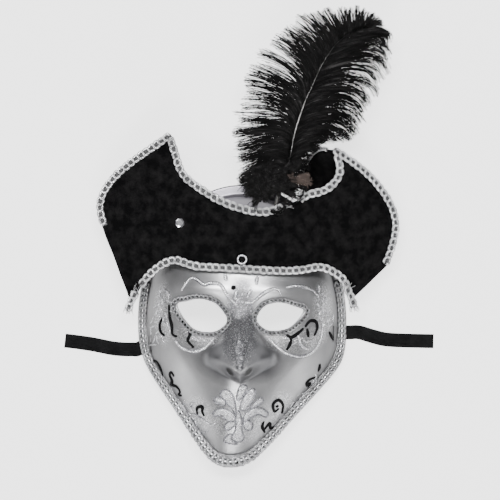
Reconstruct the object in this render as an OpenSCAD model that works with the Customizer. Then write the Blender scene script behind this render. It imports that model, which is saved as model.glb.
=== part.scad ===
// Venetian carnival mask with a turned-up velvet hat front, an ostrich feather and satin ties.
// It lies on its back: +X to the viewer's right, +Y to the crown, +Z out of the face.
// The origin is on the eye line, in the plane that the back rim rests on.

/* [Shell] */
// Half width of the shell at the temples
shell_half_w = 89; // [84:1:92]
// Height of the dome above the eye line
dome_top = 111; // [105:1:114]
// Depth of the face, from the back rim to the forehead
face_depth = 66; // [60:1:67]
// Thickness of the moulded wall
shell_wall = 2; // [1.5:0.1:2.5]
// Width of the flat rim that carries the edge braid
rim_w = 7.5; // [6:0.5:9]
// How far the chin stands off the table
chin_lift = 26; // [15:1:32]
// How far the tip of the nose stands out of the face
nose_rise = 24; // [14:1:28]

/* [Hat] */
// Thickness of the brim card
card_t = 2; // [1.5:0.1:2]
// Thickness of the velvet with its glue
velvet_t = 1.2; // [0.8:0.1:1.4]
// Height of the front card over the table at its middle
brim_top = 66.6; // [66.4:0.1:68]
// Fall of the wings for each millimetre to the side
wing_fall = 0.5; // [0.45:0.01:0.5]

/* [Trim] */
// Width of the silver braid
braid_w = 7.2; // [5:0.1:8]
// Thickness of the silver braid
braid_t = 2.2; // [1.4:0.1:2.4]
// Width of the braid round the eyes
eye_braid_w = 4; // [3:0.1:5]
// Outer diameter of the forehead ring
ring_d = 9; // [8:0.5:10]
// Wire diameter of the forehead ring
ring_wire = 1.8; // [1.4:0.1:2]

/* [Ties] */
// Width of the satin ribbon
ribbon_w = 12; // [8:1:12]
// Thickness of the satin ribbon
ribbon_t = 0.8; // [0.6:0.1:1]

/* [Hidden] */

silver_colour = "silver";
velvet_colour = [0.06, 0.06, 0.07];
card_colour = [0.25, 0.24, 0.23];
braid_colour = [0.7, 0.7, 0.72];
plume_colour = [0.04, 0.04, 0.05];

// ---- Curves -------------------------------------------------------------------------------------

function clamp01(v) = min(1, max(0, v));
function ease(v) = let (t = clamp01(v)) t * t * (3 - 2 * t);
function bump(x, y, half_x, half_y) = exp(-pow(x / half_x, 2) - pow(y / half_y, 2));
function unit(v) = v / norm(v);

// A smooth line through hand-set points, with steps points between each pair
function spline_point(a, b, c, d, t) =
    0.5 * (2 * b + (c - a) * t + (2 * a - 5 * b + 4 * c - d) * t * t + (3 * b - a - 3 * c + d) * t * t * t);
function smooth_line(p, steps) = let (n = len(p) - 1) [
    for (i = [0 : n - 1])
        for (k = [0 : steps - 1])
            spline_point(p[max(0, i - 1)], p[i], p[i + 1], p[min(n, i + 2)], k / steps),
    p[n]];
function smooth_loop(p, steps) = let (n = len(p)) [
    for (i = [0 : n - 1])
        for (k = [0 : steps - 1])
            spline_point(p[(i + n - 1) % n], p[i], p[(i + 1) % n], p[(i + 2) % n], k / steps)];
function reversed(p) = [for (i = [len(p) - 1 : -1 : 0]) p[i]];
function slice(p, first, last) = [for (i = [first : last]) p[i]];
function side_step(p, i, gap) = let (d = unit(p[min(len(p) - 1, i + 1)] - p[max(0, i - 1)]))
    p[i] + gap * [-d[1], d[0]];
function beside(p, gap) = [for (i = [0 : len(p) - 1]) side_step(p, i, gap)];

// Distance from a point to a line of points
function segment_gap(q, a, b) = let (t = clamp01((q - a) * (b - a) / ((b - a) * (b - a)))) norm(q - a - t * (b - a));
function line_gap(q, p) = min([for (i = [0 : len(p) - 2]) segment_gap(q, p[i], p[i + 1])]);

// ---- Face surface -------------------------------------------------------------------------------

face_centre = [0, -5];
dome_half_h = dome_top - face_centre[1];
// Each side of the chin is a straight line: its outward direction, and its distance from the face centre
chin_sides = [[0.734, -0.679, 88.2], [-0.826, -0.563, 89.9], [0, -1, 124.5]];
corner_sharpness = 20;
rest_y = 6;
chin_y = -129;

// 0 at the face centre and 1 on the outline of the shell
function chin_pull(p, side) = max(0, p[0] * side[0] + p[1] * side[1]) / side[2];
function reach(p) = let (dome = norm([p[0] / shell_half_w, p[1] / (p[1] > 0 ? dome_half_h : 2 * dome_half_h)]))
    pow(pow(dome, corner_sharpness) + [for (side = chin_sides) pow(chin_pull(p, side), corner_sharpness)]
        * [for (side = chin_sides) 1], 1 / corner_sharpness);
function outline_point(angle) = let (d = [cos(angle), sin(angle)]) face_centre + d / reach(d);
function rim_z(y) = chin_lift * pow(max(0, (rest_y - y) / (rest_y - chin_y)), 1.2);

// Nose, sockets, brows and cheeks, standing out of the plain bulge of the face
nose_wing_rise = 7;
function nose_z(x, y) = let (s = clamp01((10 - y) / 50), off = abs(x + 1.5))
    ((3 + nose_rise * pow(s, 1.2)) * exp(-pow(off / (7.5 + 6 * s), 2))
        + nose_wing_rise * ease((36 - off) / 10) * ease((1 - 0.87 * off - y) / 19))
    * ease((y + 57 - 0.5 * off) / 13) * ease((34 - y) / 34);
function relief_z(x, y) = let (turn = y + 0.05 * x)
    nose_z(x, y)
    - 7 * bump(x + 34, turn - 1, 26, 13) - 7 * bump(x - 32, turn - 1, 26, 13)
    + 3 * bump(x + 36, turn - 22, 24, 8) + 3 * bump(x - 36, turn - 22, 24, 8)
    + 3 * bump(x + 44, y + 40, 24, 22) + 3 * bump(x - 44, y + 40, 24, 22)
    + 2 * bump(x + 3, y + 100, 18, 16);

// inset 0 gives the outer skin, and the wall thickness gives the inner one
function skin_z(x, y, inset = 0) = let (
    p = [x, y] - face_centre,
    f = reach(p),
    edge_y = f < 0.05 ? 0 : face_centre[1] + p[1] / f,
    base = rim_z(edge_y),
    upper = ease((edge_y + 90) / 100),
    g = clamp01(f / (1 - rim_w / shell_half_w) * (1 + inset / shell_half_w)),
    rise = pow(1 - pow(g, 2.4), 0.95 - 0.43 * upper))
    base + shell_wall - inset + (face_depth - shell_wall - base) * rise + relief_z(x, y) * ease((0.95 - g) * 4);
function skin_normal(x, y) = let (d = 0.5)
    unit([skin_z(x - d, y) - skin_z(x + d, y), skin_z(x, y - d) - skin_z(x, y + d), 2 * d]);
function on_skin(p) = [p[0], p[1], skin_z(p[0], p[1])];

// ---- Solids from grids --------------------------------------------------------------------------

// A closed skin: rows of points on the front and on the back, joined round the border
function grid_faces(rows, cols, base, flip) = [
    for (r = [0 : rows - 2])
        for (c = [0 : cols - 2])
            let (a = base + r * cols + c, b = a + 1, d = a + cols, e = d + 1)
                for (t = flip ? [[a, b, e], [a, e, d]] : [[a, e, b], [a, d, e]]) t];
function border(rows, cols) = concat(
    [for (c = [0 : cols - 2]) c], [for (r = [0 : rows - 2]) r * cols + cols - 1],
    [for (c = [cols - 1 : -1 : 1]) (rows - 1) * cols + c], [for (r = [rows - 1 : -1 : 1]) r * cols]);

// A sheet over a rectangle, from height(x, y) down to the given thickness
module sheet(x_range, y_range, cell, height, thickness) {
    cols = ceil((x_range[1] - x_range[0]) / cell) + 1;
    rows = ceil((y_range[1] - y_range[0]) / cell) + 1;
    count = rows * cols;
    spots = [for (r = [0 : rows - 1]) for (c = [0 : cols - 1]) [x_range[0] + c * cell, y_range[0] + r * cell]];
    edge = border(rows, cols);
    polyhedron(
        points = concat([for (p = spots) [p[0], p[1], height(p[0], p[1])]],
            [for (p = spots) [p[0], p[1], height(p[0], p[1]) - thickness]]),
        faces = concat(grid_faces(rows, cols, 0, false), grid_faces(rows, cols, count, true),
            [for (i = [0 : len(edge) - 1])
                let (a = edge[i], b = edge[(i + 1) % len(edge)])
                    for (t = [[a, b, b + count], [a, b + count, a + count]]) t]));
}

// A braid, cord or ribbon: the cross-section follows a path, flat against the surface under it
function braid_section(w, t) = [[-w / 2, 0.15], [w / 2, 0.15], [w / 2, 0.6 * t], [w / 4, t], [-w / 4, t],
    [-w / 2, 0.6 * t]];
function strip_section(w, t) = [[-w / 2, 0], [w / 2, 0], [w / 2, t], [-w / 2, t]];
function round_section(d, sides) = [for (i = [0 : sides - 1]) d / 2 * [cos(360 * i / sides), sin(360 * i / sides)]];
function path_step(path, i, closed) = let (n = len(path))
    unit(closed ? path[(i + 1) % n] - path[(i + n - 1) % n] : path[min(n - 1, i + 1)] - path[max(0, i - 1)]);
module swept(path, normals, section, closed = false, taper = 1) {
    n = len(path);
    k = len(section);
    points = [for (i = [0 : n - 1])
        let (along = path_step(path, i, closed), across = unit(cross(along, normals[i])),
            up = cross(across, along), grow = 1 + (taper - 1) * i / (n - 1))
            for (s = section) path[i] + grow * (s[0] * across + s[1] * up)];
    wall = [for (i = [0 : (closed ? n - 1 : n - 2)])
        for (j = [0 : k - 1])
            let (a = i * k + j, b = i * k + (j + 1) % k, d = ((i + 1) % n) * k + j, e = ((i + 1) % n) * k + (j + 1) % k)
                for (t = [[a, b, e], [a, e, d]]) t];
    caps = closed ? [] : [[for (j = [k - 1 : -1 : 0]) j], [for (j = [0 : k - 1]) (n - 1) * k + j]];
    polyhedron(points = points, faces = concat(wall, caps));
}

// ---- Shell --------------------------------------------------------------------------------------

ring_count = 16;
spoke_count = 72;
// The rings draw together round the nose, where the shape is finest
mesh_shift = [-1.5, -33];
eye_steps = 4;
eye_left = smooth_loop([[-55, 8.5], [-46, 12.5], [-35, 14.5], [-22, 10.5], [-12.5, -2], [-18, -10], [-28, -13],
    [-42, -9]], eye_steps);
eye_right = smooth_loop([[52, 3.5], [43, 8.5], [31, 11.5], [19, 8.5], [12.5, -1.5], [17, -9], [26, -12],
    [40, -9]], eye_steps);
slot_x = 77.5;
slot_w = 1.6;
slot_gap = 1;
slot_y_left = -25;
slot_y_right = -15;

function shell_radius(j) = j == ring_count ? 1 : (1 - rim_w / shell_half_w) * sin(90 * j / (ring_count - 1));
function shell_row(j, inset) = [for (i = [0 : spoke_count - 1])
    let (r = shell_radius(j), edge = outline_point(360 * i / spoke_count),
        p = face_centre + r * (edge - face_centre) + pow(1 - r, 2) * mesh_shift)
        [p[0], p[1], skin_z(p[0], p[1], inset)]];
function shell_skin(inset) = concat([shell_row(0, inset)[0]],
    [for (j = [1 : ring_count]) for (p = shell_row(j, inset)) p]);
function shell_faces(base, outward) = [
    for (i = [0 : spoke_count - 1])
        let (n = (i + 1) % spoke_count)
            for (t = concat([[0, 1 + i, 1 + n]],
                [for (j = [0 : ring_count - 2])
                    let (a = 1 + j * spoke_count + i, b = 1 + j * spoke_count + n)
                        for (q = [[a, a + spoke_count, b + spoke_count], [a, b + spoke_count, b]]) q]))
                outward ? [base + t[0], base + t[2], base + t[1]] : [base + t[0], base + t[1], base + t[2]]];

module shell_blank() {
    count = 1 + ring_count * spoke_count;
    last = 1 + (ring_count - 1) * spoke_count;
    polyhedron(
        points = concat(shell_skin(0), shell_skin(shell_wall)),
        faces = concat(shell_faces(0, true), shell_faces(count, false),
            [for (i = [0 : spoke_count - 1])
                let (a = last + i, b = last + (i + 1) % spoke_count)
                    for (t = [[a, b, b + count], [a, b + count, a + count]]) t]));
}

module tie_slot(side, y) {
    translate([side * slot_x - slot_w / 2, y - ribbon_w / 2 - slot_gap / 2, 1])
        cube([slot_w, ribbon_w + slot_gap, face_depth]);
}

module face_shell() {
    color(silver_colour)
        difference() {
            shell_blank();
            linear_extrude(2 * face_depth) polygon(eye_left);
            linear_extrude(2 * face_depth) polygon(eye_right);
            tie_slot(-1, slot_y_left);
            tie_slot(1, slot_y_right);
        }
}

// ---- Braids on the shell ------------------------------------------------------------------------

edge_braid_at = 1 - rim_w / 2 / shell_half_w;
edge_braid_step = 3;
// The two lengths start at the temples and meet at the chin
edge_start_right = 22;
edge_start_left = -202;
edge_meet = -92;
braid_margin = 0.6;
edge_glue = 0.3;
eye_glue = 1.1;

function edge_path(first, last) = let (n = ceil(abs(last - first) / edge_braid_step))
    [for (i = [0 : n])
        let (edge = outline_point(first + (last - first) * i / n), p = face_centre + edge_braid_at * (edge - face_centre))
            on_skin(p) + [0, 0, edge_glue]];
module edge_braid(first, last) {
    path = edge_path(first, last);
    color(braid_colour)
        swept(path, [for (p = path) [0, 0, 1]], braid_section(braid_w, braid_t));
}
module edge_braid_left() { edge_braid(edge_meet - braid_margin, edge_start_left); }
module edge_braid_right() { edge_braid(edge_start_right, edge_meet + braid_margin); }

module eye_braid(outline) {
    outside = [for (i = [0 : len(outline) - 1])
        let (n = len(outline), d = unit(outline[(i + 1) % n] - outline[(i + n - 1) % n]))
            outline[i] + (eye_braid_w / 2 + braid_margin) * [-d[1], d[0]] * eye_turn(outline)];
    color(braid_colour)
        swept([for (p = outside) on_skin(p) + [0, 0, eye_glue]], [for (p = outside) skin_normal(p[0], p[1])],
            braid_section(eye_braid_w, braid_t), closed = true);
}
// 1 where the loop runs clockwise, so that its left side is the outside
function eye_turn(p) = let (n = len(p),
    area = [for (i = [0 : n - 1]) 1] * [for (i = [0 : n - 1]) p[i][0] * p[(i + 1) % n][1] - p[(i + 1) % n][0] * p[i][1]])
    area < 0 ? 1 : -1;
module eye_braid_left() { eye_braid(eye_left); }
module eye_braid_right() { eye_braid(eye_right); }

// ---- Palmette on the chin -----------------------------------------------------------------------

palmette_at = [-3.4, -84];
palmette_t = 1.4;
palmette_lift = 0.9;
// Each lobe: its tip from the stem point, and its width
palmette_lobes = [[0, 27, 12], [-14, 20, 11], [14, 20, 11], [-21, 6, 10], [21, 6, 10], [-11, -14, 9], [11, -14, 9],
    [0, -23, 9]];

module lobe(tip, w) {
    hull() {
        circle(d = 3, $fn = 24);
        translate(0.75 * tip) circle(d = w, $fn = 32);
    }
}
module chin_palmette() {
    color(silver_colour)
        intersection() {
            linear_extrude(2 * face_depth)
                translate(palmette_at)
                    for (l = palmette_lobes) lobe([l[0], l[1]], l[2]);
            sheet([-32, 26], [-112, -52], 6, function (x, y) skin_z(x, y) + palmette_lift + palmette_t, palmette_t);
        }
}

// ---- Hat ----------------------------------------------------------------------------------------

hat_steps = 5;
brow_bow = 25;
brim_lean = 0.05;
forehead_y = 42;
front_cell = 9;
flap_cell = 6.5;
flap_drop = 3.8;
flap_reach = 44;

forehead_line = smooth_line([[-92, 13], [-78, 34], [-58, 47], [-37, 42], [-1, 40], [34, 38], [50, 39], [67, 41],
    [84, 31], [91, 15]], hat_steps);
right_wing_line = smooth_line([[121, 44], [127, 60], [129.5, 78], [124, 96], [110, 115], [93, 129], [77, 139]],
    hat_steps);
dip_line = smooth_line([[77, 139], [81, 129], [80.5, 117], [70, 106], [54, 101], [38, 93], [16, 87], [-10, 93],
    [-32, 105], [-49, 119], [-56, 138], [-60, 151]], hat_steps);
left_wing_line = smooth_line([[-60, 151], [-94, 128], [-112, 111], [-119.5, 94], [-116, 76]], hat_steps);
front_outline = concat(forehead_line, right_wing_line, slice(dip_line, 1, len(dip_line) - 1),
    slice(left_wing_line, 1, len(left_wing_line) - 1));

// The folded parts end at the dome and show above the dip only on the right
right_flap_top = smooth_line([[76, 137], [69, 141], [62, 139], [56, 132], [50, 120]], hat_steps);
left_flap_top = smooth_line([[-64, 140], [-58, 126], [-54, 112]], hat_steps);
right_flap_outline = concat([[92, 17], [119, 43]], slice(beside(right_wing_line, 2), 1, len(right_wing_line) - 3),
    right_flap_top, [[52, 104], [66, 88], [78, 70], [86, 50], [90, 32]]);
left_flap_outline = concat([[-93, 17], [-114, 76], [-117, 93], [-110, 109], [-92, 125]], left_flap_top,
    [[-54, 104], [-67, 88], [-79, 70], [-87, 50], [-91, 32]]);
right_hem = concat([[91, 15]], right_wing_line);
left_hem = concat(left_wing_line, [[-92, 13]]);

// Top of the card under the velvet, and top of the parts folded back behind it
function brim_z(x, y) = brim_top + brow_bow - norm([brow_bow, wing_fall * x]) + brim_lean * (y - forehead_y);
function flap_z(x, y, hem) = let (s = pow(clamp01(1 - line_gap([x, y], hem) / flap_reach), 2))
    card_t + (brim_z(x, y) - flap_drop - card_t) * s;

front_box = [[-128, 134], [8, 161]];
left_box = [[-124, -43], [8, 152]];
right_box = [[44, 134], [8, 152]];

module hat_layer(outline, box, cell, height, thickness) {
    intersection() {
        linear_extrude(2 * face_depth) polygon(outline);
        sheet(box[0], box[1], cell, height, thickness);
    }
}
module brim_card_front() {
    color(card_colour)
        hat_layer(front_outline, front_box, front_cell, function (x, y) brim_z(x, y), card_t);
}
module brim_velvet_front() {
    color(velvet_colour)
        hat_layer(front_outline, front_box, front_cell, function (x, y) brim_z(x, y) + velvet_t, velvet_t);
}
module brim_card_left() {
    color(card_colour)
        hat_layer(left_flap_outline, left_box, flap_cell, function (x, y) flap_z(x, y, left_hem), card_t);
}
module brim_velvet_left() {
    color(velvet_colour)
        hat_layer(left_flap_outline, left_box, flap_cell, function (x, y) flap_z(x, y, left_hem) + velvet_t, velvet_t);
}
module brim_card_right() {
    color(card_colour)
        hat_layer(right_flap_outline, right_box, flap_cell, function (x, y) flap_z(x, y, right_hem), card_t);
}
module brim_velvet_right() {
    color(velvet_colour)
        hat_layer(right_flap_outline, right_box, flap_cell, function (x, y) flap_z(x, y, right_hem) + velvet_t, velvet_t);
}

// ---- Braids on the hat --------------------------------------------------------------------------

brim_up = unit([0, -brim_lean, 1]);
flap_braid_w = 4;
flap_glue = 1.6;
function brim_normal(p) = unit([wing_fall * wing_fall * p[0] / norm([brow_bow, wing_fall * p[0]]), -brim_lean, 1]);
module hat_braid(line) {
    color(braid_colour)
        swept([for (p = line) [p[0], p[1], brim_z(p[0], p[1]) + velvet_t + 0.5]], [for (p = line) brim_normal(p)],
            braid_section(braid_w, braid_t));
}
dip_join = 25;
module forehead_braid() { hat_braid(slice(forehead_line, 3, len(forehead_line) - 4)); }
module temple_braid_left() { hat_braid([[-95.5, 5], [-93, 12], [-88.5, 20]]); }
module temple_braid_right() { hat_braid([[87.5, 24], [91.5, 15], [94, 7]]); }
module dip_braid_left() { hat_braid(slice(dip_line, dip_join + 1, len(dip_line) - 4)); }
module dip_braid_right() { hat_braid(slice(dip_line, 5, dip_join - 3)); }
module wing_braid_left() { hat_braid(slice(left_wing_line, 0, len(left_wing_line) - 1)); }
module wing_braid_right() { hat_braid(right_wing_line); }
module flap_braid(line, hem) {
    color(braid_colour)
        swept([for (p = line) [p[0], p[1], flap_z(p[0], p[1], hem) + velvet_t + flap_glue]], [for (p = line) brim_up],
            braid_section(flap_braid_w, 1.4));
}
module flap_braid_left() { flap_braid(slice(left_flap_top, 1, len(left_flap_top) - 1), left_hem); }
module flap_braid_right() { flap_braid(slice(right_flap_top, 5, len(right_flap_top) - 1), right_hem); }

// ---- Feather ------------------------------------------------------------------------------------

quill_d = 3;
quill_tip = 0.35;
vane_t = 4;
vane_gap = 2.4;
// The shaft: round numbers along its bend, and its height over the table
shaft_route = [[24, 74, 58], [28, 92, 61], [33, 110, 62], [39.5, 130, 62], [44, 153, 61], [52, 178, 59],
    [58, 191, 57], [64.5, 206, 54], [72, 219, 52], [81, 230.5, 49], [94, 239, 45], [111, 244, 42]];
shaft = smooth_line(shaft_route, 3);
shaft_heights = [for (p = shaft_route) [p[1], p[2]]];
vane_start = 6;
shaft_plan = slice([for (p = shaft) [p[0], p[1]]], vane_start, len(shaft) - 2);
left_plume_edge = [[12, 112], [2, 126], [-3, 142], [-5, 160], [-5, 180], [2, 200], [16, 218], [32, 236], [50, 247],
    [72, 255], [92, 261], [108, 256], [118, 243]];
right_plume_edge = [[121, 236], [123, 226], [119, 206], [112, 188], [104, 172], [97, 156], [84, 149], [68, 138],
    [54, 124], [40, 112]];

module vane(edge, side) {
    plan = side > 0 ? concat(beside(shaft_plan, vane_gap), reversed(edge))
        : concat(beside(shaft_plan, -vane_gap), edge);
    color(plume_colour)
        intersection() {
            linear_extrude(2 * face_depth) polygon(plan);
            sheet([-10, 134], [95, 265], 17, function (x, y) lookup(y, shaft_heights) + vane_t / 2, vane_t);
        }
}
module feather_quill() {
    color([0.3, 0.26, 0.22])
        swept(shaft, [for (p = shaft) [0, 0, 1]], round_section(quill_d, 8), taper = quill_tip);
}
module feather_vane_left() { vane(left_plume_edge, 1); }
module feather_vane_right() { vane(right_plume_edge, -1); }
module feather_down() {
    color(plume_colour)
        translate([0, 0, 70.5])
            linear_extrude(6)
                polygon(smooth_loop([[14, 92], [12, 106], [22, 120], [36, 126], [54, 120], [70, 112], [66, 100],
                    [50, 92], [34, 86]], hat_steps));
}

// ---- Stone, ring and eye ------------------------------------------------------------------------

stud_at = [-52, 78];
stud_r = 4;
stud_glue = 1.4;
module brim_stud() {
    color("whitesmoke")
        translate([stud_at[0], stud_at[1], brim_z(stud_at[0], stud_at[1]) + velvet_t + stud_glue])
            rotate([0, 17, 0])
                cylinder(h = 2.4, r1 = stud_r, r2 = 0.5 * stud_r, $fn = 48);
}

ring_at_y = 47.5;
ring_r = (ring_d - ring_wire) / 2;
ring_lift = 3.6;
ring_tilt = -12;
hinge_y = ring_at_y - ring_r;
hinge_z = brim_z(0, hinge_y) + velvet_t + ring_lift;
eye_wire = 0.9;
eye_r = ring_wire / 2 + 0.35 + eye_wire / 2;

module wire_ring(r, wire) {
    rotate_extrude($fn = 64) translate([r, 0]) circle(d = wire, $fn = 24);
}
module forehead_ring() {
    color(silver_colour)
        translate([0, hinge_y, hinge_z])
            rotate([ring_tilt, 0, 0])
                translate([0, ring_r, 0])
                    wire_ring(ring_r, ring_wire);
}
module ring_eye() {
    color(silver_colour)
        translate([0, hinge_y, hinge_z]) {
            rotate([0, 90, 0]) wire_ring(eye_r, eye_wire);
            translate([0, 0, -ring_lift]) cylinder(h = ring_lift - eye_r, d = eye_wire, $fn = 24);
        }
}

// ---- Ties ---------------------------------------------------------------------------------------

hinge_x = 92.5;
tie_z = 0.05;
// Each tie: the free part from the hinge at the rim to its cut end
left_tail = [[-92.5, -29.5], [-100, -29.5], [-111, -28.5], [-126, -25.5], [-139, -23.5], [-151.5, -22]];
right_tail = [[92.5, -15], [100, -15], [112, -18.5], [123, -21], [140, -22], [163.5, -22.5]];
// The fixed and the free part stop short of the hinge line by this much
tie_gap = 0.5;
slot_wall = slot_x + slot_w / 2;
slot_glue = 0.05;
anchor_sink = 1;

module tie_strip(path, normals) {
    color(velvet_colour)
        swept(path, normals, strip_section(ribbon_w, ribbon_t));
}
// The fixed part stands in the slot against its outer wall, then turns out under the rim
module tie_anchor(side, y, exit_y) {
    x = slot_wall - ribbon_t - slot_glue;
    path = [for (p = [[x, y, skin_z(side * slot_wall, y) - anchor_sink], [x, y, 1.9], [x + 0.3, y, 0.9], [x + 1.5, y, 0.2],
        [x + 3.4, y, tie_z], [hinge_x - 3, exit_y, tie_z], [hinge_x - tie_gap, exit_y, tie_z]])
            [side * p[0], p[1], p[2]]];
    tie_strip(path, [for (i = [0 : len(path) - 1])
        let (d = path_step(path, i, false)) unit([-side * d[2], 0, side * d[0]])]);
}
module tie_tail(line, side) {
    path = [for (p = smooth_line(line, 3)) [p[0] + side * tie_gap, p[1], tie_z]];
    tie_strip(path, [for (p = path) [0, 0, 1]]);
}
module ribbon_anchor_left() { tie_anchor(-1, slot_y_left, left_tail[0][1]); }
module ribbon_anchor_right() { tie_anchor(1, slot_y_right, right_tail[0][1]); }
module ribbon_tail_left() { tie_tail(left_tail, -1); }
module ribbon_tail_right() { tie_tail(right_tail, 1); }

face_shell();
edge_braid_left();
edge_braid_right();
eye_braid_left();
eye_braid_right();
chin_palmette();
brim_card_front();
brim_velvet_front();
brim_card_left();
brim_velvet_left();
brim_card_right();
brim_velvet_right();
forehead_braid();
temple_braid_left();
temple_braid_right();
dip_braid_left();
dip_braid_right();
wing_braid_left();
wing_braid_right();
flap_braid_left();
flap_braid_right();
feather_quill();
feather_vane_left();
feather_vane_right();
feather_down();
brim_stud();
ring_eye();
forehead_ring();
ribbon_anchor_left();
ribbon_tail_left();
ribbon_anchor_right();
ribbon_tail_right();
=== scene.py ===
"""Venetian carnival mask: every visible piece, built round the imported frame.

Lengths in this script are millimetres unless a name says otherwise; MM turns them into Blender's metres.
"""
import math

import bpy
import numpy as np
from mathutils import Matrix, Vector


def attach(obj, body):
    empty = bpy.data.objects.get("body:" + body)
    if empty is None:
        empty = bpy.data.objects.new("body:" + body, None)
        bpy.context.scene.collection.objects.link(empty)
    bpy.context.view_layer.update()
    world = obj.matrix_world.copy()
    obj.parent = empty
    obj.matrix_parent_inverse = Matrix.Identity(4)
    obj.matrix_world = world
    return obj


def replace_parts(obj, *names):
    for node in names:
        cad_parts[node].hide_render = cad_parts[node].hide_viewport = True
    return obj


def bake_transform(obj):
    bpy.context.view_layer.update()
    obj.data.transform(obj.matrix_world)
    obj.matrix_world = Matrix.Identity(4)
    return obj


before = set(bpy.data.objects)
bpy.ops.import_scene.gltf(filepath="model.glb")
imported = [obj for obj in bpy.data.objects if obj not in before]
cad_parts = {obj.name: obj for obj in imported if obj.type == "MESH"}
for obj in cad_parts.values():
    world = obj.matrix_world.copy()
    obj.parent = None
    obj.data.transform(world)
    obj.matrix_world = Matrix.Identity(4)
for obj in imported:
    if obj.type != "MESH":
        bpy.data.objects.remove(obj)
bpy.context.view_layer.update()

MM = 0.001
rng = np.random.default_rng(7)


# ---- Curves -------------------------------------------------------------------------------------

def clamp01(v):
    return np.clip(v, 0.0, 1.0)


def ease(v):
    t = clamp01(v)
    return t * t * (3 - 2 * t)


def mound(x, y, half_x, half_y):
    return np.exp(-(x / half_x) ** 2 - (y / half_y) ** 2)


def unit(v):
    return v / np.maximum(np.linalg.norm(v, axis=-1, keepdims=True), 1e-12)


def left_of(d):
    """Flat directions turned a quarter to the left."""
    return np.stack([-d[..., 1], d[..., 0]], axis=-1)


def distances(path):
    """How far along a path each of its points is."""
    return np.concatenate([[0], np.cumsum(np.linalg.norm(np.diff(path, axis=0), axis=1))])


def every_pair(a, b):
    return np.stack(np.meshgrid(a, b, indexing="ij"), axis=-1).reshape(-1, 2)


def smooth_line(points, steps, closed=False):
    """A Catmull-Rom line through given points."""
    p = np.asarray(points, float)
    n = len(p)
    t = (np.arange(steps) / steps)[:, None]
    out = []
    for i in range(n if closed else n - 1):
        if closed:
            a, b, c, d = p[i - 1], p[i], p[(i + 1) % n], p[(i + 2) % n]
        else:
            a, b, c, d = p[max(0, i - 1)], p[i], p[i + 1], p[min(n - 1, i + 2)]
        out.append(0.5 * (2 * b + (c - a) * t + (2 * a - 5 * b + 4 * c - d) * t ** 2
                          + (3 * b - a - 3 * c + d) * t ** 3))
    if not closed:
        out.append(p[-1:])
    return np.vstack(out)


def even_line(points, spacing, closed=False):
    """The same line with its points a fixed distance apart."""
    p = np.asarray(points, float)
    if closed:
        p = np.vstack([p, p[:1]])
    at = distances(p)
    n = max(3, int(round(at[-1] / spacing)))
    s = np.linspace(0, at[-1], n + 1)
    q = np.stack([np.interp(s, at, p[:, k]) for k in range(p.shape[1])], axis=1)
    return q[:-1] if closed else q


def along(path, closed=False):
    if closed:
        return unit(np.roll(path, -1, 0) - np.roll(path, 1, 0))
    return unit(np.gradient(path, axis=0))


def inside(poly, x, y):
    """Which points lie within a closed outline."""
    hit = np.zeros(np.shape(x), bool)
    q = np.roll(poly, -1, 0)
    for (ax, ay), (bx, by) in zip(poly, q):
        if ay != by:
            cut = ((ay > y) != (by > y)) & (x < (bx - ax) * (y - ay) / (by - ay) + ax)
            hit ^= cut
    return hit


def nearest_on(poly, pts, closed=True):
    """The nearest points on an outline, and how far they are."""
    a = np.asarray(poly, float)
    b = np.roll(a, -1, 0) if closed else a[1:]
    a = a if closed else a[:-1]
    best = np.full(len(pts), 1e9)
    where = np.zeros((len(pts), 2))
    for p, q in zip(a, b):
        d = q - p
        t = clamp01(((pts - p) @ d) / max(d @ d, 1e-12))[:, None]
        c = p + t * d
        gap = np.linalg.norm(pts - c, axis=1)
        near = gap < best
        best[near] = gap[near]
        where[near] = c[near]
    return where, best


# ---- Face surface: the CAD shell's, with nostrils added -----------------------------------------

SHELL_HALF_W = 89
DOME_TOP = 111
FACE_DEPTH = 66
SHELL_WALL = 2
RIM_W = 7.5
CHIN_LIFT = 26
NOSE_RISE = 24
NOSE_WING_RISE = 7
FACE_CENTRE = np.array([0.0, -5.0])
DOME_HALF_H = DOME_TOP - FACE_CENTRE[1]
CHIN_SIDES = ((0.734, -0.679, 88.2), (-0.826, -0.563, 89.9), (0, -1, 124.5))
CORNER_SHARPNESS = 20
REST_Y = 6
CHIN_Y = -129


def reach(px, py):
    """0 at the face centre and 1 on the outline of the shell."""
    dome = np.hypot(px / SHELL_HALF_W, py / np.where(py > 0, DOME_HALF_H, 2 * DOME_HALF_H))
    total = dome ** CORNER_SHARPNESS
    for nx, ny, gap in CHIN_SIDES:
        total = total + (np.maximum(0, px * nx + py * ny) / gap) ** CORNER_SHARPNESS
    return total ** (1 / CORNER_SHARPNESS)


def outline_point(degrees):
    a = np.radians(degrees)
    d = np.stack([np.cos(a), np.sin(a)], axis=-1)
    return FACE_CENTRE + d / reach(d[..., 0], d[..., 1])[..., None]


def rim_z(y):
    return CHIN_LIFT * np.maximum(0, (REST_Y - y) / (REST_Y - CHIN_Y)) ** 1.2


def nose_z(x, y):
    s = clamp01((10 - y) / 50)
    off = np.abs(x + 1.5)
    ridge = (3 + NOSE_RISE * s ** 1.2) * np.exp(-(off / (7.5 + 6 * s)) ** 2)
    wings = NOSE_WING_RISE * ease((36 - off) / 10) * ease((1 - 0.87 * off - y) / 19)
    return (ridge + wings) * ease((y + 57 - 0.5 * off) / 13) * ease((34 - y) / 34)


# Two moulded hollows under the tip: middle, half length, half width and slant in degrees
NOSTRILS = [((-9.9, -45.8), (4.2, 2.1), -52), ((5.3, -45.8), (4.2, 2.1), 229)]
NOSTRIL_DEPTH = 4.5


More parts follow.
